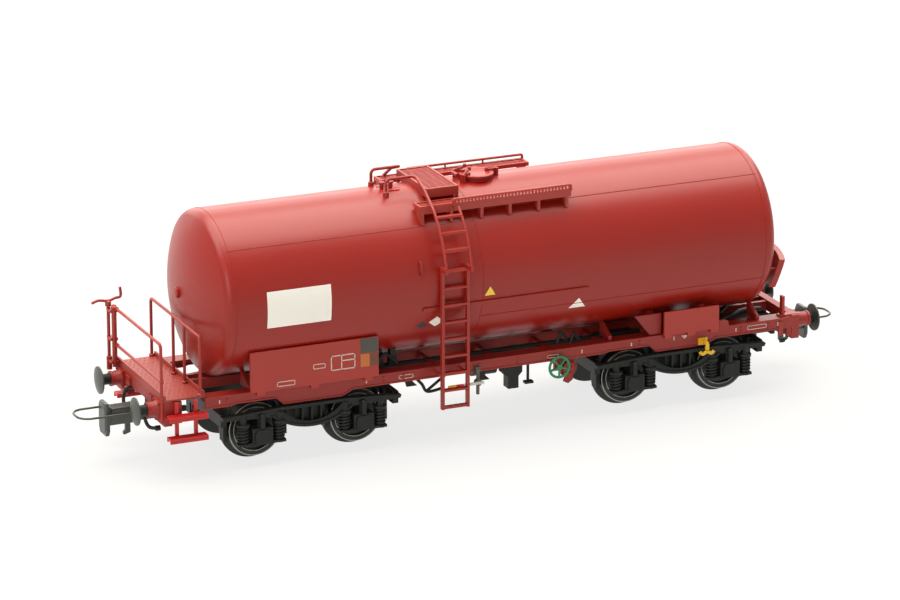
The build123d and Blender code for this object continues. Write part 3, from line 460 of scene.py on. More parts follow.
# Manhole fittings
# The lid is a dished disc with a raised rim, held by a hinge and by swing bolts with wing nuts.
# All of it is a small red moulding on the model.
dress(fitting_red, "manhole", "top_handrails", "ladder_near", "ladder_far")
lid_x, lid_z = 0.9, 48.35
ear_reach, ear_spread, bar_reach = 4.3, 0.45, 2.2
lid = bmesh.new()
rim_profile = [(-0.3, 3.42), (0.02, 3.42), (0.14, 3.25), (0.16, 2.75), (0.04, 2.55), (0.03, 0.0001)]
add_lathe(lid, rim_profile, car(lid_x, 0, lid_z), (0, 0, 1), sides=48)
neck_band = [(0.0, 3.15), (0.35, 3.15), (0.35, 2.9), (0.0, 2.9)]
add_lathe(lid, neck_band, car(lid_x, 0, lid_z - 1.1), (0, 0, 1), sides=48)
for turn, lean in ((0, 0), (150, 1), (210, 1)):
    reach = radians(turn)
    for offset in (-ear_spread, ear_spread):
        ear_x = lid_x + ear_reach * cos(reach) - offset * sin(reach)
        ear_y = ear_reach * sin(reach) + offset * cos(reach)
        add_tube(lid, [car(ear_x, ear_y, lid_z - 1.4), car(ear_x, ear_y, lid_z + 0.55)], 0.22 * MM)
    bar_start = car(lid_x + ear_reach * cos(reach), ear_reach * sin(reach), lid_z + 0.3)
    bar_end = car(lid_x + bar_reach * cos(reach), bar_reach * sin(reach), lid_z + 0.3 + 0.9 * lean)
    add_tube(lid, [bar_start, bar_end], 0.26 * MM)
    nut = [(-0.25, 0.36), (0.35, 0.36), (0.5, 0.22)]
    add_lathe(lid, nut, bar_end, (0, 0, 1), sides=10)
hinge_line = [car(lid_x - 4.4, -1.1, lid_z + 0.2), car(lid_x - 4.4, 1.1, lid_z + 0.2)]
add_tube(lid, hinge_line, 0.38 * MM, sides=12)
add_piece("manhole_fittings", mesh_from(lid, "manhole_fittings"), fitting_red)

# Gratings on the tank top
# The cross platform and both walkways are etched gratings in a raised frame, over dark beds that are painted
# shade in their holes.
# A fascia closes each walkway's outer side; the near one is pierced along its upper edge.
grating_painted_shade = lacquer("grating shadow", (0.10, 0.010, 0.008), gloss=0.6)
grating_red = lacquer("grating red", (0.37, 0.035, 0.024), gloss=0.45, mottle=0.2)
dress(grating_red, "top_platform", "walkway_near", "walkway_far")


def add_grating(build, xs, ys, z, pitch=0.7, bar=0.3, height=0.16, border=0.4):
    """Adds a grating: long bars, cross bars at half their height, and a border."""
    inner_xs, inner_ys = (xs[0] + border, xs[1] - border), (ys[0] + border, ys[1] - border)
    rim_zs = (z - 0.02, z + height * 1.6)
    for low, high in ((xs[0], inner_xs[0]), (inner_xs[1], xs[1])):
        add_block(build, (low, high), ys, rim_zs)
    for low, high in ((ys[0], inner_ys[0]), (inner_ys[1], ys[1])):
        add_block(build, inner_xs, (low, high), rim_zs)
    width = ys[1] - ys[0] - 2 * border
    count = int(width / pitch)
    for number in range(1, count + 1):
        y = inner_ys[0] + number * width / (count + 1)
        add_block(build, inner_xs, (y - bar / 2, y + bar / 2), (z - 0.01, z + height))
    length = xs[1] - xs[0] - 2 * border
    count = int(length / (pitch * 2.1))
    for number in range(1, count + 1):
        x = inner_xs[0] + number * length / (count + 1)
        add_block(build, (x - bar / 2, x + bar / 2), inner_ys, (z - 0.01, z + height / 2))


platform_top, walkway_top, bed_thickness = 48.3, 46.2, 0.03
walkway_left, walkway_right, walkway_inner, walkway_outer = -15.7, 15.8, 8.2, 11.4
# The beds are a dark sheet under the gratings: painted shade seen through the holes.
beds = bmesh.new()
gratings = bmesh.new()
add_block(beds, (-12.3, -6.3), (-7.1, 7.1), (platform_top - 0.02, platform_top + bed_thickness))
add_grating(gratings, (-12.6, -6.0), (-7.4, 7.4), platform_top + bed_thickness)
for low, high in ((-walkway_outer, -walkway_inner), (walkway_inner, walkway_outer)):
    bed_xs = (walkway_left + 0.2, walkway_right - 0.2)
    add_block(beds, bed_xs, (low + 0.2, high - 0.2), (walkway_top - 0.02, walkway_top + bed_thickness))
    add_grating(gratings, (walkway_left, walkway_right), (low, high), walkway_top + bed_thickness)
add_piece("grating_beds", mesh_from(beds, "grating_beds"), grating_painted_shade)
add_piece("gratings", mesh_from(gratings, "gratings"), grating_red)

fascia = bmesh.new()
for sign in (-1, 1):
    face = walkway_outer * sign
    add_block(fascia, (-8.7, walkway_right), (face, face + 0.16 * sign), (44.9, 46.5))
    rail_studs = [-8.4 + number * 0.7 for number in range(35)] if sign < 0 else [-0.6, 7.4]
    for x in rail_studs:
        add_block(fascia, (x - 0.16, x + 0.16), (face, face + 0.12 * sign), (46.45, 47.15))
    for x in (-15.2, -9.2, -2.9, 3.0, 9.0, 14.9):
        add_block(fascia, (x - 0.3, x + 0.3), (face - 0.2 * sign, face + 0.14 * sign), (42.9, 45.9))
add_piece("walkway_fascias", mesh_from(fascia, "walkway_fascias"), grating_red)

# Tank top pipes
# Two little relief valves and the feet of the handrail loops stand on the barrel beside the platform.
# They are turned red mouldings.
valve_profile = [(0, 0.42), (1.3, 0.42), (1.3, 0.62), (1.6, 0.62), (1.75, 0.4)]
rail_foot_profile = [(0, 0.62), (1.0, 0.56), (1.15, 0.4)]
rail_foot_x, rail_foot_y = -19.45, 3.7
rail_foot_z = tank_axis_z / MM + sqrt((tank_radius / MM) ** 2 - rail_foot_y ** 2) - 0.2
valves = bmesh.new()
for x in (-18.8, -17.0):
    add_lathe(valves, valve_profile, on_tank(x, 90, -0.3), (0, 0, 1))
for sign in (-1, 1):
    add_lathe(valves, rail_foot_profile, car(rail_foot_x, rail_foot_y * sign, rail_foot_z), (0, 0, 1))
    add_block(valves, (-19.2, -15.9), (sign * 1.6 - 0.35, sign * 1.6 + 0.35), (47.1, 47.5))
add_piece("relief_valves", mesh_from(valves, "relief_valves"), fitting_red)

# Ladder treads
# The ladders have flat stamped treads on their rungs, and stays back to the sill and barrel.
# They are red like the handrails.
treads = bmesh.new()
ladder_left, ladder_right, bent_rung_radius = -13.4, -8.2, 19.1
rung_zs = [7.3 + 0.28 + number * 3.4 for number in range(9)]
for sign in (-1, 1):
    for z in rung_zs:
        add_block(treads, (ladder_left, ladder_right), (sign * 16.15, sign * 17.25), (z - 0.12, z + 0.3))
    for x in (ladder_left, ladder_right):
        stay = [car(x, sign * 12.9, 14.0), car(x, sign * 16.5, 14.0)]
        add_tube(treads, stay, 0.25 * MM)
        spot = on_tank(x, 6 if sign < 0 else 174, -0.2)
        add_tube(treads, [spot, Vector((spot.x, sign * 16.7 * MM, spot.z))], 0.25 * MM)
    for angle in (24, 34, 44):
        turn = radians(angle)
        y = sign * bent_rung_radius * cos(turn)
        z = tank_axis_z / MM + bent_rung_radius * sin(turn)
        add_block(treads, (ladder_left, ladder_right), (y - 0.45, y + 0.45), (z - 0.1, z + 0.2))
add_piece("ladder_treads", mesh_from(treads, "ladder_treads"), fitting_red)

# Boards on the sills
# Flat red boards stand on the sills over the bogies, with blank faces.
# The left ones keep their printed squares and outlined boxes as thin films; fine white frames ring them.
frame_red = lacquer("board red lacquer", (0.40, 0.028, 0.018), gloss=0.4, mottle=0.12)
dress(frame_red, "board_left_near", "board_left_far", "board_right_near", "board_right_far")
patch_grey = lacquer("print dark grey", (0.07, 0.065, 0.055), gloss=0.5)
patch_orange = lacquer("print orange", (0.55, 0.16, 0.03), gloss=0.45)
patch_brown = lacquer("print brown", (0.16, 0.05, 0.02), gloss=0.45)
line_white = lacquer("print line white", (0.62, 0.5, 0.46), gloss=0.5)


def add_print(build, sign, xs, zs, face=14.1, thickness=0.05):
    """Adds a thin film on a board's outer face."""
    add_block(build, xs, (sign * (face - 0.02), sign * (face + thickness)), zs)


def outline_print(build, sign, xs, zs, width=0.2):
    """Adds a thin rectangular frame line on a board's face."""
    for z in (zs[0], zs[1] - width):
        add_print(build, sign, xs, (z, z + width))
    for x in (xs[0], xs[1] - width):
        add_print(build, sign, (x, x + width), zs)


square_left, square_middle, square_right = -29.2, -27.4, -25.6
for side, sign in (("near", -1), ("far", 1)):
    lines, greys, oranges, browns = bmesh.new(), bmesh.new(), bmesh.new(), bmesh.new()
    outline_print(lines, sign, (-35.3, -30.3), (17.2, 20.2))
    add_print(lines, sign, (-33.2, -33.0), (17.2, 20.2))
    add_print(lines, sign, (-33.2, -30.3), (18.9, 19.1))
    outline_print(lines, sign, (-46.3, -42.6), (15.5, 16.5), 0.15)
    outline_print(lines, sign, (-38.9, -36.4), (18.0, 19.0), 0.15)
    add_print(greys, sign, (square_left, square_right), (19.9, 22.8))
    add_print(oranges, sign, (square_left, square_middle), (17.2, 19.7))
    add_print(browns, sign, (square_middle, square_right), (17.2, 19.7))
    for name, build, finish, slot in (
        ("board_lines_", lines, line_white, None),
        ("board_grey_square_", greys, patch_grey, "black"),
        ("board_orange_square_", oranges, patch_orange, None),
        ("board_brown_square_", browns, patch_brown, None),
    ):
        add_piece(name + side, mesh_from(build, name + side), finish, smooth=False)

# Side sills
# The sills are channels with a thick lower lip, small jacking marks and bolted board feet.
# White ticks, a rounded gusset and the yellow rope hooks are small parts fixed to them.
sill_red = lacquer("underframe red lacquer", (0.30, 0.018, 0.012), gloss=0.45, mottle=0.14)
dress(sill_red, "sill_near", "sill_far", "centre_sill", "crossbars", "bolster_left", "bolster_right")
dress(sill_red, "saddle_left", "saddle_right", "outlet")
hook_yellow = lacquer("hook yellow", (0.80, 0.50, 0.02), gloss=0.35)
sill_face = 13.0
sill_lip = [
    (-60.4, 12.6), (-55.25, 12.6), (-54.25, 12.9), (-46.05, 12.9), (-44.55, 11.5), (-32.55, 11.5),
    (-30.25, 12.6), (22.05, 12.6), (23.35, 12.9), (32.05, 12.9), (33.55, 11.5), (43.75, 11.5),
    (46.45, 12.6), (61.4, 12.6),
]
sill_top_edge = [(-60.4, 14.5), (61.4, 14.5), (61.4, 14.87), (-60.4, 14.87)]
sill_gusset = [(47.0, 14.85), (49.2, 14.85), (49.0, 15.9), (48.4, 16.3), (47.0, 16.3)]
down_triangle = [(39.0, 14.1), (40.4, 14.1), (39.7, 13.4)]
tick_half_width, frame_line = 0.12, 0.12
blank_frames = [
    ((53.4, 57.6), (13.35, 14.2)),
    ((-20.9, -17.9), (13.25, 14.05)),
    ((10.2, 12.6), (13.25, 13.9)),
]
hook_x, hook_reach = 43.55, 1.8
lips, marks, hooks = bmesh.new(), bmesh.new(), bmesh.new()
for sign in (-1, 1):
    low_edge = [(x, z + 0.02) for x, z in sill_lip]
    high_edge = [(x, z + 0.32) for x, z in reversed(sill_lip)]
    add_prism(lips, low_edge + high_edge, side_view, sign * (sill_face - 0.1), sign * (sill_face + 0.16))
    add_prism(lips, sill_top_edge, side_view, sign * (sill_face - 0.1), sign * (sill_face + 0.2))
    add_prism(lips, sill_gusset, side_view, sign * sill_face, sign * (sill_face + 0.4))
    for x in (-56.0, -24.0, -20.0, -4.0, 4.0, 30.0, 52.0, 58.0):
        spots = [car(x, sign * sill_face, 14.1), car(x, sign * sill_face, 13.3)]
        add_bolts(lips, spots, (0, sign, 0), radius=0.22, height=0.18)
    print_depth = (sign * (sill_face - 0.05), sign * (sill_face + 0.05))
    for x in (17.6, 28.2, 37.4, 50.9, 60.1, -57.5, -27.6):
        add_block(marks, (x - tick_half_width, x + tick_half_width), print_depth, (13.4, 14.1))
    add_prism(marks, down_triangle, side_view, *print_depth)
    frame_depth = (sign * (sill_face - 0.05), sign * (sill_face + 0.06))
    for xs, zs in blank_frames:
        add_block(marks, xs, frame_depth, (zs[0], zs[0] + frame_line))
        add_block(marks, xs, frame_depth, (zs[1] - frame_line, zs[1]))
        add_block(marks, (xs[0], xs[0] + frame_line), frame_depth, zs)
        add_block(marks, (xs[1] - frame_line, xs[1]), frame_depth, zs)
    hook_y = sign * (sill_face + hook_reach)
    add_block(hooks, (42.6, 44.5), (sign * (sill_face - 0.1), sign * (sill_face + 0.4)), (11.8, 13.2))
    neck = [
        car(hook_x, sign * sill_face, 12.6),
        car(hook_x, hook_y + sign * 0.3, 12.5),
        car(hook_x, hook_y + sign * 0.4, 11.4),
    ]
    add_tube(hooks, wiggle(neck, 4), 0.42 * MM, sides=10)
    for way in (-1, 1):
        horn = [
            car(hook_x, hook_y + sign * 0.4, 11.0),
            car(hook_x + way * 0.9, hook_y + sign * 0.4, 10.5),
            car(hook_x + way * 1.5, hook_y + sign * 0.4, 10.9),
        ]
        add_tube(hooks, wiggle(horn, 4), 0.36 * MM, sides=10)
round_piece(add_piece("sill_lips", mesh_from(lips, "sill_lips"), sill_red), 0.06)
add_piece("sill_marks", mesh_from(marks, "sill_marks"), line_white, smooth=False)
add_piece("rope_hooks", mesh_from(hooks, "rope_hooks"), hook_yellow)

# Tank saddles
# Wing plates run up from the sills to the tank beside the right board, with bolts along the saddles' feet.
# They and the small sloping feet inside the sills are red plates of the underframe moulding.
wing_outline = [(29.0, 19.2), (34.8, 19.2), (34.8, 15.0), (32.3, 15.0)]
foot_outline = [(12.2, 14.9), (12.2, 15.8), (8.0, 17.9), (8.0, 14.9)]
foot_half_thickness = 0.35
wings = bmesh.new()
for sign in (-1, 1):
    add_prism(wings, wing_outline, side_view, sign * 12.2, sign * 12.7)
    for x in (-33.6, -43.9, 33.4, 44.4):
        for z, y in ((15.2, 11.6), (17.4, 9.2)):
            add_bolts(wings, [car(x, sign * y, z)], (1 if x > 0 else -1, 0, 0), radius=0.25, height=0.25)
    for x in (-51.0, -27.0, 24.0, 56.0):
        outline = [(sign * y, z) for y, z in foot_outline]
        add_prism(wings, outline, end_view, x - foot_half_thickness, x + foot_half_thickness)
round_piece(add_piece("saddle_wings", mesh_from(wings, "saddle_wings"), sill_red), 0.08)

# Brake rigging under the tank
# Black levers, rods and a reservoir hang between the sills, with pipes along the car above them.
# A post with a three-coloured lever stands at the near side; all are separate dark mouldings.
running_black = lacquer("running gear black", (0.011, 0.013, 0.0105), gloss=0.46, mottle=0.25, specular=0.3)
pipe_grey = lacquer("pipe grey", (0.10, 0.105, 0.09), gloss=0.4, specular=0.5)
lever_white = lacquer("lever white", (0.7, 0.7, 0.66), gloss=0.4)
lever_red = lacquer("lever red", (0.62, 0.03, 0.02), gloss=0.35)
dress(running_black, "brake_gear", "coupler_pocket_left", "coupler_pocket_right")
rigging = bmesh.new()
reservoir_profile = [(0, 0.0001), (0.2, 1.2), (0.7, 1.9), (8.3, 1.9), (8.8, 1.2), (9.0, 0.0001)]
add_lathe(rigging, reservoir_profile, car(2.0, 4.6, 11.0), (1, 0, 0))
for x in (3.6, 9.4):
    add_block(rigging, (x - 0.4, x + 0.4), (3.9, 5.3), (11.0, 13.4))
rod_radius, pipe_radius, thin_rod_radius = 0.35, 0.62, 0.3
for y in (-2.6, 2.6):
    add_tube(rigging, [car(-24.0, y, 12.2), car(24.0, y, 12.2)], rod_radius * MM)
for y in (-9.6, -6.4, 5.6, 7.6, 9.6):
    add_tube(rigging, [car(-33.0, y, 13.9), car(33.0, y, 13.9)], pipe_radius * MM, sides=10)
for x in (-29.0, 29.0):
    add_block(rigging, (x - 4.0, x + 4.0), (-10.6, 10.6), (13.0, 13.4))
add_tube(rigging, [car(-6.5, -5.0, 10.8), car(-22.0, -2.6, 12.2)], rod_radius * MM)
lever = [(-4.0, 12.0), (4.0, 12.0), (4.0, 12.6), (-4.0, 12.6)]
for x in (-22.0, 8.0):
    add_prism(rigging, lever, end_view, x - 0.4, x + 0.4)
for x, z_low in ((-18.6, 10.6), (-3.4, 9.8), (1.6, 10.4)):
    bracket = [(x, 12.8), (x + 1.6, 12.8), (x + 1.6, z_low + 1.0), (x + 2.6, z_low), (x + 0.4, z_low)]
    add_prism(rigging, bracket, side_view, -10.6, -10.0)
    cross_rod = [car(x + 0.8, -10.3, z_low + 0.4), car(x + 0.8, -4.0, z_low + 1.4)]
    add_tube(rigging, cross_rod, thin_rod_radius * MM)
for x in (-24.2, -21.4):
    box = [(x, 15.1), (x + 1.7, 15.1), (x + 1.4, 18.4), (x + 0.3, 18.4)]
    add_prism(rigging, box, side_view, -9.4, -8.2)
for start, high, end in (
    ((-25.0, -10.5, 15.2), (-22.5, -10.0, 17.6), (-20.0, -10.2, 15.4)),
    ((13.0, -10.4, 13.2), (14.6, -9.8, 17.0), (16.6, -10.0, 14.0)),
    ((15.6, -10.8, 13.0), (17.2, -10.2, 16.6), (18.8, -10.4, 13.6)),
):
    add_tube(rigging, wiggle([car(*start), car(*high), car(*end)]), rod_radius * MM)
hanger = [(1.9, 12.8), (5.9, 12.8), (5.9, 10.6), (5.1, 9.8), (5.1, 7.4), (2.9, 7.4), (2.9, 9.8), (1.9, 10.6)]
add_prism(rigging, hanger, side_view, -11.0, -8.6)
add_tube(rigging, [car(7.3, -10.4, 13.0), car(7.3, -10.4, 8.2)], thin_rod_radius * MM)
add_block(rigging, (6.5, 8.3), (-11.0, -9.8), (7.9, 8.4))
bent_rod = [car(-16.8, -10.3, 12.6), car(-15.0, -10.3, 10.7), car(-13.8, -10.3, 9.0), car(-10.6, -10.3, 9.3)]
add_tube(rigging, wiggle(bent_rod), 0.32 * MM)
add_tube(rigging, [car(-13.9, -10.3, 9.2), car(-9.0, -10.3, 12.6)], thin_rod_radius * MM)
add_block(rigging, (46.6, 60.6), (-10.6, 10.6), (12.72, 13.0))
for y_from, y_to in ((-9.6, -4.0), (-6.4, 1.0), (-3.0, 6.0)):
    pipe = [(46.8, y_from, 14.2), (51.0, y_from + 0.6, 15.2), (56.0, y_to - 0.8, 14.6), (60.8, y_to, 14.2)]
    add_tube(rigging, wiggle([car(*place) for place in pipe]), 0.5 * MM)
round_piece(add_piece("brake_rigging", mesh_from(rigging, "brake_rigging"), running_black), 0.06)

post_x, post_y, lever_y, lever_z = -4.6, -13.4, -14.0, 10.6
post = bmesh.new()
add_tube(post, [car(post_x, post_y, 13.4), car(post_x, post_y, 8.2)], 0.34 * MM, sides=10)
add_block(post, (post_x - 0.5, post_x + 0.5), (-13.6, -13.0), (12.7, 13.7))
add_lathe(post, [(0, 0.7), (0.9, 0.7)], car(post_x, -13.0, lever_z), (0, -1, 0), sides=16)
add_piece("changeover_post", mesh_from(post, "changeover_post"), pipe_grey)
for name, x_from, x_to, finish in (
    ("lever_tip_yellow", -11.0, -9.4, hook_yellow),
    ("lever_middle_red", -9.4, -7.9, lever_red),
    ("lever_root_white", -7.9, -3.6, lever_white),
):
    arm = bmesh.new()
    add_tube(arm, [car(x_from, lever_y, lever_z), car(x_to, lever_y, lever_z)], 0.3 * MM, sides=10)
    add_piece(name, mesh_from(arm, name), finish)

# Outlet valves and handwheels
# The drain disc with its bores and flange bolts closes each outlet, and a green handwheel works the valve.
# Disc and wheel are small separate mouldings.
wheel_green = lacquer("handwheel green", (0.012, 0.24, 0.10), gloss=0.35)
dress(wheel_green, "handwheel_near", "handwheel_far")
valve_x, valve_z, valve_face, bolt_circle, bolt_count = 16.0, 9.8, 10.2, 1.5, 8
drain_disc = [(0.0, 1.35), (0.5, 1.35), (0.6, 1.15), (0.6, 0.5), (1.0, 0.5), (1.1, 0.3)]
drain_arm = [(15.3, 9.2), (14.6, 7.4), (15.6, 6.9), (16.6, 7.6), (16.5, 9.0)]
drains = bmesh.new()
for sign in (-1, 1):
    face = sign * valve_face
    spots = []
    for number in range(bolt_count):
        turn = 2 * pi * number / bolt_count
        spots.append(car(valve_x + bolt_circle * cos(turn), face, valve_z + bolt_circle * sin(turn)))
    add_bolts(drains, spots, (0, sign, 0), radius=0.2, height=0.22)
    add_lathe(drains, drain_disc, car(valve_x, face, valve_z), (0, sign, 0))
    add_prism(drains, drain_arm, side_view, face + sign * 0.5, face + sign * 0.9)
    for x in (14.2, 17.8):
        brace = [car(x, sign * 9.6, 11.4), car(valve_x + (x - valve_x) * 1.6, sign * 11.6, 13.2)]
        add_tube(drains, brace, 0.3 * MM)
    add_block(drains, (11.7, 13.1), (sign * 12.5, sign * 13.25), (10.6, 12.9))
add_piece("drain_valves", mesh_from(drains, "drain_valves"), fitting_red)

# Buffer beams and brake platform
# Each beam is a red plate with an opening between its buffers, flanges with four bolts and stepped housings.
# The left beam carries the brake platform, whose top is a little paler from the light tread pattern.
platform_red = lacquer("platform red lacquer", (0.35, 0.045, 0.032), gloss=0.5, mottle=0.25, grain=2600.0)
dress(platform_red, "end_platform")
dress(fitting_red, "front_rail", "rear_rail")
buffer_grey = lacquer("buffer grey", (0.033, 0.038, 0.031), gloss=0.36, mottle=0.2, specular=0.7)
dress(buffer_grey, "buffers_left", "buffers_right")
beam_outline = [
    (-13.0, 10.3), (-7.6, 10.3), (-7.6, 12.3), (-6.8, 12.9), (6.8, 12.9), (7.6, 12.3), (7.6, 10.3),
    (13.0, 10.3), (13.0, 15.1), (-13.0, 15.1),
]
buffer_y, buffer_z, beam_top, beam_thickness = 10.05, 13.1, 15.1, 1.6
for side, sign, housing in (("left", -1, 2.5), ("right", 1, 3.4)):
    beam_name = "beam_" + side
    node_low, node_high = box_of(beam_name)
    reach = (node_low.x if sign < 0 else node_high.x) - sign * housing * MM
    face_x = (reach - mid_x) / MM
    back_x = face_x - sign * beam_thickness
    beams = bmesh.new()
    add_prism(beams, beam_outline, end_view, face_x, back_x)
    for y in (-buffer_y, buffer_y):
        add_block(beams, (face_x, face_x + sign * 0.5), (y - 1.8, y + 1.8), (11.3, 14.9))
        profile = [(0.3, 1.75), (0.9, 1.5), (housing - 0.5, 1.35), (housing - 0.4, 1.5), (housing, 1.5)]
        add_lathe(beams, profile, car(face_x, y, buffer_z), (sign, 0, 0))
        spots = [car(face_x + sign * 0.5, y + a, buffer_z + b) for a in (-1.4, 1.4) for b in (-1.4, 1.4)]
        add_bolts(beams, spots, (sign, 0, 0), radius=0.24, height=0.22)
        add_block(beams, (back_x, back_x - sign * 1.0), (y * 1.24 - 0.4, y * 1.24 + 0.4), (10.9, 14.9))
    for y in (-6.0, 6.0):
        loop = [car(face_x + sign * out, y, z) for out, z in ((0.1, 12.6), (0.9, 12.3), (0.2, 11.0))]
        add_tube(beams, wiggle(loop, 5), 0.25 * MM)
        add_block(beams, (face_x, face_x + sign * 0.35), (y - 1.1, y + 1.1), (12.9, 14.6))
    piece = add_piece(beam_name + "_casting", mesh_from(beams, beam_name + "_casting"), sill_red)
    round_piece(piece, 0.1)
    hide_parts(beam_name)
    hoses = bmesh.new()
    for y in (-5.6, 5.6):
        run = [(0.0, 1.0, 12.6), (1.0, 1.0, 12.2), (1.5, 1.04, 10.2), (0.9, 1.16, 8.4), (-0.6, 1.3, 8.2)]
        line = wiggle([car(face_x - sign * 0.2 + sign * out, y * spread, z) for out, spread, z in run])
        add_tube(hoses, line, 0.36 * MM)
        add_lathe(hoses, [(-0.5, 0.5), (0.5, 0.5)], line[0], (sign, 0, 0), sides=12)
        add_lathe(hoses, [(-0.5, 0.52), (0.4, 0.52)], line[-1], (-sign, 0, 0), sides=12)
    for y in (-buffer_y, buffer_y):
        sleeve = [(housing - 0.1, 1.08), (4.4, 1.08)]
        add_lathe(hoses, sleeve, car(face_x, y, buffer_z), (sign, 0, 0), sides=24)
    for y in (-9.0, 9.0, -2.6, 2.6):
        add_block(hoses, (back_x, back_x - sign * 4.2), (y - 0.35, y + 0.35), (11.6, 12.6))
    add_block(hoses, (back_x - sign * 2.0, back_x - sign * 2.8), (-9.6, 9.6), (10.6, 11.5))
    add_piece("brake_hoses_" + side, mesh_from(hoses, "brake_hoses_" + side), running_black)
    posts = bmesh.new()
    for y in (-11.6, 11.6):
        if sign > 0:
            add_block(posts, (face_x - 3.4, face_x - 2.8), (y - 0.6, y + 0.6), (beam_top, beam_top + 3.9))
            foot_zs = (beam_top - 0.5, beam_top + 0.1)
            add_block(posts, (face_x - 4.0, face_x - 0.1), (y - 0.8, y + 0.8), foot_zs)
            add_block(posts, (face_x - 3.6, face_x - 4.6), (y * 1.125 - 0.2, y * 1.125 + 0.2), (11.3, 14.2))
        else:
            add_block(posts, (face_x + 1.6, face_x + 3.6), (y * 1.08 - 0.45, y * 1.08 + 0.45), (10.6, 14.9))
    piece = add_piece("end_posts_" + side, mesh_from(posts, "end_posts_" + side), fitting_red)
    round_piece(piece, 0.1)

tread_rows, tread_columns, tread_top = 7, 24, 15.54
treadplate = bmesh.new()
for row in range(tread_rows):
    for column in range(tread_columns):
        x = -67.4 + row * 0.95 + (column % 2) * 0.45
        y = -12.1 + column * 1.05
        lean = 1 if column % 2 else -1
        corners = [(x - 0.3, y - 0.08 * lean), (x, y - 0.12), (x + 0.3, y + 0.08 * lean), (x, y + 0.12)]
        add_prism(treadplate, corners, top_view, tread_top - 0.06, tread_top)
add_piece("platform_treads", mesh_from(treadplate, "platform_treads"), platform_red, smooth=False)

# Hand brake column
# Two red tubes and a thin spindle stand behind the left beam's far corner, with a bent crank on top.
# On the model the column is one small moulding.
column = bmesh.new()
column_x, column_foot, column_height = -69.1, 14.9, 11.9
for x, y, radius in ((column_x, 12.4, 0.5), (column_x - 0.35, 11.5, 0.45)):
    tube = [(0, radius), (column_height, radius), (column_height + 0.2, radius * 0.6)]
    add_lathe(column, tube, car(x, y, column_foot), (0, 0, 1), sides=20)
spindle_x, spindle_y, crank_z = -70.0, 13.1, 27.7
spindle = [(0, 0.55), (2.6, 0.55), (2.7, 0.33), (12.6, 0.33), (12.7, 0.6), (13.6, 0.6), (13.8, 0.25)]
add_lathe(column, spindle, car(spindle_x, spindle_y, 14.0), (0, 0, 1), sides=20)
for z in (15.6, 20.2, 25.8):
    add_block(column, (-70.3, -68.8), (11.2, 13.4), (z, z + 0.5))
crank = [
    (-3.4, -0.35, 0.0), (-2.0, -0.1, 0.3), (0.0, 0.0, 0.0),
    (1.5, 0.1, 0.35), (2.6, 0.15, 0.6), (2.5, 0.15, 2.4),
]
add_tube(column, wiggle([car(spindle_x + a, spindle_y + b, crank_z + c) for a, b, c in crank], 5), 0.28 * MM)
piece = add_piece("brake_column_cast", mesh_from(column, "brake_column_cast"), fitting_red)
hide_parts("brake_column")
rail_joints = bmesh.new()
for y in (-13.1, -4.8, 1.1, 13.1):
    add_lathe(rail_joints, [(0, 0.55), (0.35, 0.55), (0.5, 0.35)], car(-61.35, y, 15.5), (0, 0, 1), sides=14)
for y, z in ((11.0, 26.6), (11.0, 19.3), (-13.0, 19.3)):
    add_lathe(rail_joints, [(-0.4, 0.42), (0.4, 0.42)], car(-69.1, y, z), (0, 1, 0), sides=14)
add_piece("rail_joints", mesh_from(rail_joints, "rail_joints"), fitting_red)

# Corner steps
# The two-tread steps are bright red, each tread a plate with a turned-down edge and a ribbed top.
# Their hangers are riveted to the sill.
step_red = lacquer("step bright red", (0.52, 0.016, 0.016), gloss=0.38)
dress(step_red, "steps_near", "steps_far")
lower_tread_z, upper_tread_z, rib_count = 8.0, 12.2, 4
edges = bmesh.new()
for side, sign in (("near", -1), ("far", 1)):
    step_low, step_high = box_of("steps_" + side)
    xs = ((step_low.x - mid_x) / MM, (step_high.x - mid_x) / MM)
    outer, inner = sign * 15.6, sign * 13.6
    for z in (lower_tread_z, upper_tread_z):
        add_block(edges, xs, (outer, outer - sign * 0.3), (z - 0.45, z + 0.05))
        add_block(edges, xs, (inner, inner + sign * 0.3), (z - 0.35, z + 0.05))
        for number in range(rib_count):
            y = inner + sign * (0.45 + number * 0.38)
            add_block(edges, (xs[0] + 0.2, xs[1] - 0.2), (y, y + sign * 0.16), (z + 0.48, z + 0.58))
    centre = (xs[0] + xs[1]) / 2
    for x in (centre - 1.9, centre + 1.9):
        for z in (9.2, 11.2, 13.4):
            add_bolts(edges, [car(x, sign * 14.1, z)], (0, sign, 0), radius=0.2, height=0.18)
add_piece("step_edges", mesh_from(edges, "step_edges"), step_red, smooth=False)

# Bogie side frames
# Each side frame is a cast arch with a window and ribs, over axle boxes between pairs of coil springs.
# On the model it is one grey-black plastic moulding, so the finish is the same all over.
for side in ("left", "right"):
    dress(running_black, "bogie_" + side + "_core", "brake_shoes_" + side)
pivot_reach, wheel_reach, axle_z = 38.9, 10.35, 6.3
frame_inner, frame_outer, flange_outer, lid_face = 12.3, 13.5, 13.8, 14.4
spring_y, spring_foot, spring_reach, coil_turns, coil_steps = 13.1, 4.5, 3.6, 5, 60
pot_profile = [
    (0, 1.3), (0.4, 1.3), (0.5, 0.8), (3.6, 0.8), (3.7, 1.3), (4.2, 1.3), (4.3, 0.7), (5.9, 0.7),
]


def arc_points(reach, end_z, middle_z, count=18):
    """Points of a flat arch from one side to the other, lowest in the middle."""
    depth = end_z - middle_z
    radius = (reach ** 2 + depth ** 2) / (2 * depth)
    points = []
    for step in range(count + 1):
        x = reach * (2 * step / count - 1)
        points.append((x, middle_z + radius - sqrt(radius ** 2 - x ** 2)))
    return points


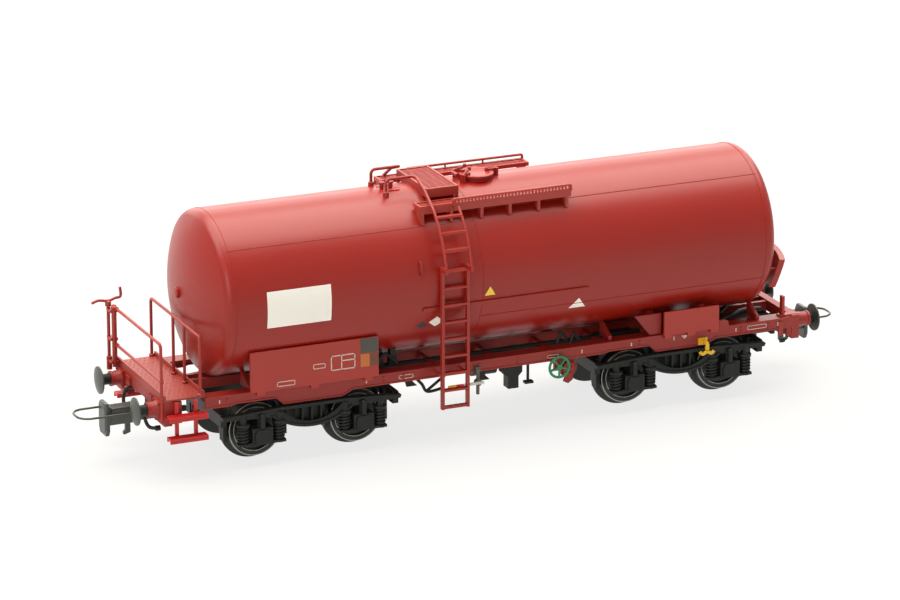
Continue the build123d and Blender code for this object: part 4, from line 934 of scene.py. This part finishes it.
belly = arc_points(8.2, 9.4, 6.6)
window = arc_points(6.4, 10.5, 7.4)
window_sill = [(-6.4, 10.5), (6.4, 10.5), (6.95, 11.2), (-6.95, 11.2)]
end_arm = [(-18.2, 9.7), (-8.2, 9.4), (-6.4, 10.5), (-6.95, 11.2), (-18.2, 10.5)]
top_flange = [
    (-18.2, 10.1), (-6.95, 10.8), (6.95, 10.8), (18.2, 10.1),
    (18.2, 10.5), (6.95, 11.2), (-6.95, 11.2), (-18.2, 10.5),
]
for side, way in (("left", -1), ("right", 1)):
    bogie_x = way * pivot_reach
    for flank, sign in (("near", -1), ("far", 1)):
        cast = bmesh.new()
        shapes = [
            (belly + list(reversed(window)), frame_inner, frame_outer),
            (window_sill, frame_inner, frame_outer),
            (end_arm, frame_inner, frame_outer),
            ([(-x, z) for x, z in end_arm], frame_inner, frame_outer),
            (belly + [(x, z + 0.5) for x, z in reversed(belly)], frame_outer - 0.1, flange_outer),
            (top_flange, frame_outer - 0.1, flange_outer),
            (window + [(x, z + 0.3) for x, z in reversed(window)], frame_outer - 0.1, 13.65),
        ]
        for outline, low, high in shapes:
            placed = [(bogie_x + x, z) for x, z in outline]
            add_prism(cast, placed, side_view, sign * low, sign * high)
        for x in (-1.9, 0.0, 1.9):
            rib_xs = (bogie_x + x - 0.18, bogie_x + x + 0.18)
            add_block(cast, rib_xs, (sign * frame_inner, sign * 13.3), (7.0, 10.9))
        for axle in (-1, 1):
            x = bogie_x + axle * wheel_reach
            add_block(cast, (x - 2.1, x + 2.1), (sign * 11.3, sign * 14.1), (4.4, 7.7))
            lid = [(-1.6, 4.7), (1.6, 4.7), (1.6, 6.6), (1.1, 7.4), (-1.1, 7.4), (-1.6, 6.6)]
            add_prism(cast, [(x + a, z) for a, z in lid], side_view, sign * 14.0, sign * lid_face)
            spots = [car(x + a, sign * lid_face, z) for a in (-1.2, 1.2) for z in (5.1, 6.4)]
            add_bolts(cast, spots, (0, sign, 0), radius=0.2, height=0.1)
            add_block(cast, (x - 0.75, x + 0.75), (sign * 12.5, sign * 13.7), (7.7, 10.2))
            damper = [(0, 0.55), (2.6, 0.55), (2.8, 0.3)]
            add_lathe(cast, damper, car(x, sign * 13.9, 7.7), (0, 0, 1), sides=14)
            add_block(cast, (x - 4.8, x + 4.8), (sign * 12.2, sign * 14.0), (4.4, 4.95))
            for spring_x in (x - spring_reach, x + spring_reach):
                spot = car(spring_x, sign * spring_y, spring_foot)
                add_lathe(cast, pot_profile, spot, (0, 0, 1), sides=20)
                coil = []
                for step in range(coil_steps + 1):
                    turn = 2 * pi * coil_turns * step / coil_steps
                    around = Vector((1.02 * cos(turn), 1.02 * sin(turn), 0.5 + 3.1 * step / coil_steps))
                    coil.append(spot + around * MM)
                add_tube(cast, coil, 0.2 * MM, sides=6)
            shaft = [car(x, sign * 11.3, axle_z), car(x, sign * 10.2, axle_z)]
            add_tube(cast, shaft, 0.42 * MM, sides=12)
        name = f"bogie_{side}_{flank}"
        cast_mesh = mesh_from(cast, name + "_cast")
        piece = add_piece(name + "_cast", cast_mesh, running_black, "bogie_" + side)
        round_piece(piece, 0.07)
        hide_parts(name)

# Wheels
# The wheels are blackened metal, with bright steel lines at the flange and at the tyre's edges that are
# partly wear and partly a painted highlight.
# Each axle with its wheels turns as one.
wheel_dark = lacquer("wheel dark metal", (0.016, 0.016, 0.014), gloss=0.38, specular=0.6, metallic=0.3)
rim_steel_and_highlight = lacquer("tyre steel and painted highlight", (0.40, 0.40, 0.36), gloss=0.32, metallic=0.5, mottle=0.2)
for number, x in enumerate((-49.25, -28.55, 28.55, 49.25), start=1):
    body = f"wheelset_{number}"
    dress(wheel_dark, body)
    # The bright rings are partly worn steel and partly a painted highlight on the rims.
    rims = bmesh.new()
    for sign in (-1, 1):
        for y, radius, thick in ((7.55, 6.19, 0.1), (9.93, 5.2, 0.12), (9.95, 4.32, 0.08)):
            ring = []
            for step in range(64):
                turn = 2 * pi * step / 64
                ring.append(car(x + radius * cos(turn), sign * y, axle_z + radius * sin(turn)))
            add_tube(rims, ring, thick * MM, sides=6, closed=True)
    add_piece(body + "_rims", mesh_from(rims, body + "_rims"), rim_steel_and_highlight, body)

# Loop couplers
# The head is a rounded plate on a boxed body with a spring tail, in dark grey plastic.
# A thin burnished wire loop hooks over the other car's plate.
wire_grey = lacquer("wire grey", (0.07, 0.072, 0.06), gloss=0.3, metallic=0.7)
dress(wire_grey, "loop_left", "loop_right")
plate = [
    (-2.2, 6.9), (-1.6, 5.8), (1.6, 5.8), (2.2, 6.9),
    (2.2, 11.2), (1.5, 12.3), (-1.5, 12.3), (-2.2, 11.2),
]
plate_middle_z, inset_share = 9.05, 0.8
tail = [(-4.6, 8.0), (-5.6, 8.0), (-5.6, 5.6), (-4.2, 5.2), (-4.2, 5.8), (-4.6, 6.2)]
for side, sign in (("left", -1), ("right", 1)):
    name = "coupler_" + side
    coupler_low, coupler_high = box_of(name)
    tip_x = ((coupler_low.x if sign < 0 else coupler_high.x) - mid_x) / MM
    head = bmesh.new()
    add_prism(head, plate, end_view, tip_x - sign * 0.12, tip_x - sign * 0.9)
    inset = [(y * inset_share, plate_middle_z + (z - plate_middle_z) * inset_share) for y, z in plate]
    add_prism(head, inset, end_view, tip_x, tip_x - sign * 0.3)
    body_back = tip_x - sign * 6.7
    add_block(head, (tip_x - sign * 0.8, body_back), (-1.7, 1.7), (7.9, 9.9))
    add_block(head, (tip_x - sign * 1.6, body_back), (-1.2, 1.2), (9.8, 11.1))
    add_block(head, (tip_x - sign * 5.6, tip_x - sign * 6.9), (-1.7, -1.15), (9.0, 11.1))
    add_block(head, (tip_x - sign * 5.6, tip_x - sign * 6.9), (1.15, 1.7), (9.0, 11.1))
    add_block(head, (body_back + sign * 0.2, tip_x - sign * 11.6), (-0.9, 0.9), (7.9, 9.4))
    add_lathe(head, [(0, 1.2), (1.5, 1.2)], car(tip_x - sign * 11.6, 0, 7.9), (0, 0, 1))
    add_prism(head, [(tip_x + sign * x, z) for x, z in tail], side_view, -0.45, 0.45)
    piece = add_piece(name + "_head", mesh_from(head, name + "_head"), buffer_grey, name)
    round_piece(piece, 0.16, 3)
    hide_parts(name)

# Studio
# A pale floor, two wide soft lamps overhead and behind, and a weak one from the front left.
# The camera stands where the photograph's camera stood.


def seen_directly(nodes, links):
    """A value of one for rays from the camera, from a shiny face or through a clear one."""
    path = nodes.new("ShaderNodeLightPath")
    seen = math_node(nodes, links, "ADD", path.outputs["Is Camera Ray"], path.outputs["Is Glossy Ray"])
    seen = math_node(nodes, links, "ADD", seen, path.outputs["Is Transmission Ray"])
    seen.node.use_clamp = True
    return seen


floor_mesh = bpy.data.meshes.new("floor")
floor_build = bmesh.new()
bmesh.ops.create_grid(floor_build, x_segments=1, y_segments=1, size=4.0)
floor_build.to_mesh(floor_mesh)
floor_build.free()
floor = bpy.data.objects.new("floor", floor_mesh)
bpy.context.scene.collection.objects.link(floor)
floor_finish = bpy.data.materials.new("pale floor")
floor_finish.use_nodes = True
floor_nodes, floor_links = floor_finish.node_tree.nodes, floor_finish.node_tree.links
floor_surface = floor_nodes["Principled BSDF"]
floor_surface.inputs["Base Color"].default_value = (0.64, 0.63, 0.6, 1.0)
floor_surface.inputs["Roughness"].default_value = 0.9
floor_surface.inputs["Specular IOR Level"].default_value = 0.0
floor_light = floor_nodes.new("ShaderNodeEmission")
floor_light.inputs["Strength"].default_value = 1.0
floor_share = floor_nodes.new("ShaderNodeMath")
floor_share.operation = "MULTIPLY"
floor_share.inputs[1].default_value = 0.78
floor_mix = floor_nodes.new("ShaderNodeMixShader")
floor_links.new(seen_directly(floor_nodes, floor_links), floor_share.inputs[0])
floor_links.new(floor_share.outputs["Value"], floor_mix.inputs["Fac"])
floor_links.new(floor_surface.outputs["BSDF"], floor_mix.inputs[1])
floor_links.new(floor_light.outputs["Emission"], floor_mix.inputs[2])
floor_links.new(floor_mix.outputs["Shader"], floor_nodes["Material Output"].inputs["Surface"])
floor_mesh.materials.append(floor_finish)

world = bpy.data.worlds.new("studio")
bpy.context.scene.world = world
world.use_nodes = True
world_nodes, world_links = world.node_tree.nodes, world.node_tree.links
world_glow = world_nodes["Background"]
world_glow.inputs["Color"].default_value = (1.0, 1.0, 0.97, 1.0)
world_glow.inputs["Strength"].default_value = 0.16
world_white = world_nodes.new("ShaderNodeBackground")
world_white.inputs["Strength"].default_value = 1.0
world_mix = world_nodes.new("ShaderNodeMixShader")
world_links.new(seen_directly(world_nodes, world_links), world_mix.inputs["Fac"])
world_links.new(world_glow.outputs["Background"], world_mix.inputs[1])
world_links.new(world_white.outputs["Background"], world_mix.inputs[2])
world_links.new(world_mix.outputs["Shader"], world_nodes["World Output"].inputs["Surface"])


def softbox(name, place, aim, width, depth, watts):
    """A wide soft lamp that looks at a point."""
    lamp = bpy.data.lights.new(name, "AREA")
    lamp.shape = "RECTANGLE"
    lamp.size = width
    lamp.size_y = depth
    lamp.energy = watts
    lamp.color = (1.0, 0.955, 0.87)
    holder = bpy.data.objects.new(name, lamp)
    holder.location = place
    holder.rotation_euler = (Vector(aim) - Vector(place)).to_track_quat("-Z", "Y").to_euler()
    bpy.context.scene.collection.objects.link(holder)
    return holder


softbox("overhead lamp", (0.0, 0.22, 0.75), (0.0, 0.22, 0.02), 1.8, 0.84, 22.0)
softbox("back lamp", (0.3, 1.3, 0.5), (0.0, 0.0, 0.04), 2.4, 0.8, 12.0)
softbox("front lamp", (-0.7, -0.9, 0.5), (0.0, 0.0, 0.02), 0.6, 0.6, 3.2)

camera_data = bpy.data.cameras.new("camera")
camera_data.sensor_width = 36.0
camera_data.lens = 203.9
camera_data.clip_start = 0.01
camera = bpy.data.objects.new("camera", camera_data)
camera_back = Vector((-0.37966, -0.87329, 0.30530)).normalized()
camera.location = (-0.37737, -0.86187, 0.32454)
camera.rotation_euler = (
    camera_back.to_track_quat("Z", "Y").to_matrix() @ Matrix.Rotation(radians(-0.085), 3, "Z")
).to_euler()
bpy.context.scene.collection.objects.link(camera)
bpy.context.scene.camera = camera
bpy.context.scene.view_settings.view_transform = "Standard"
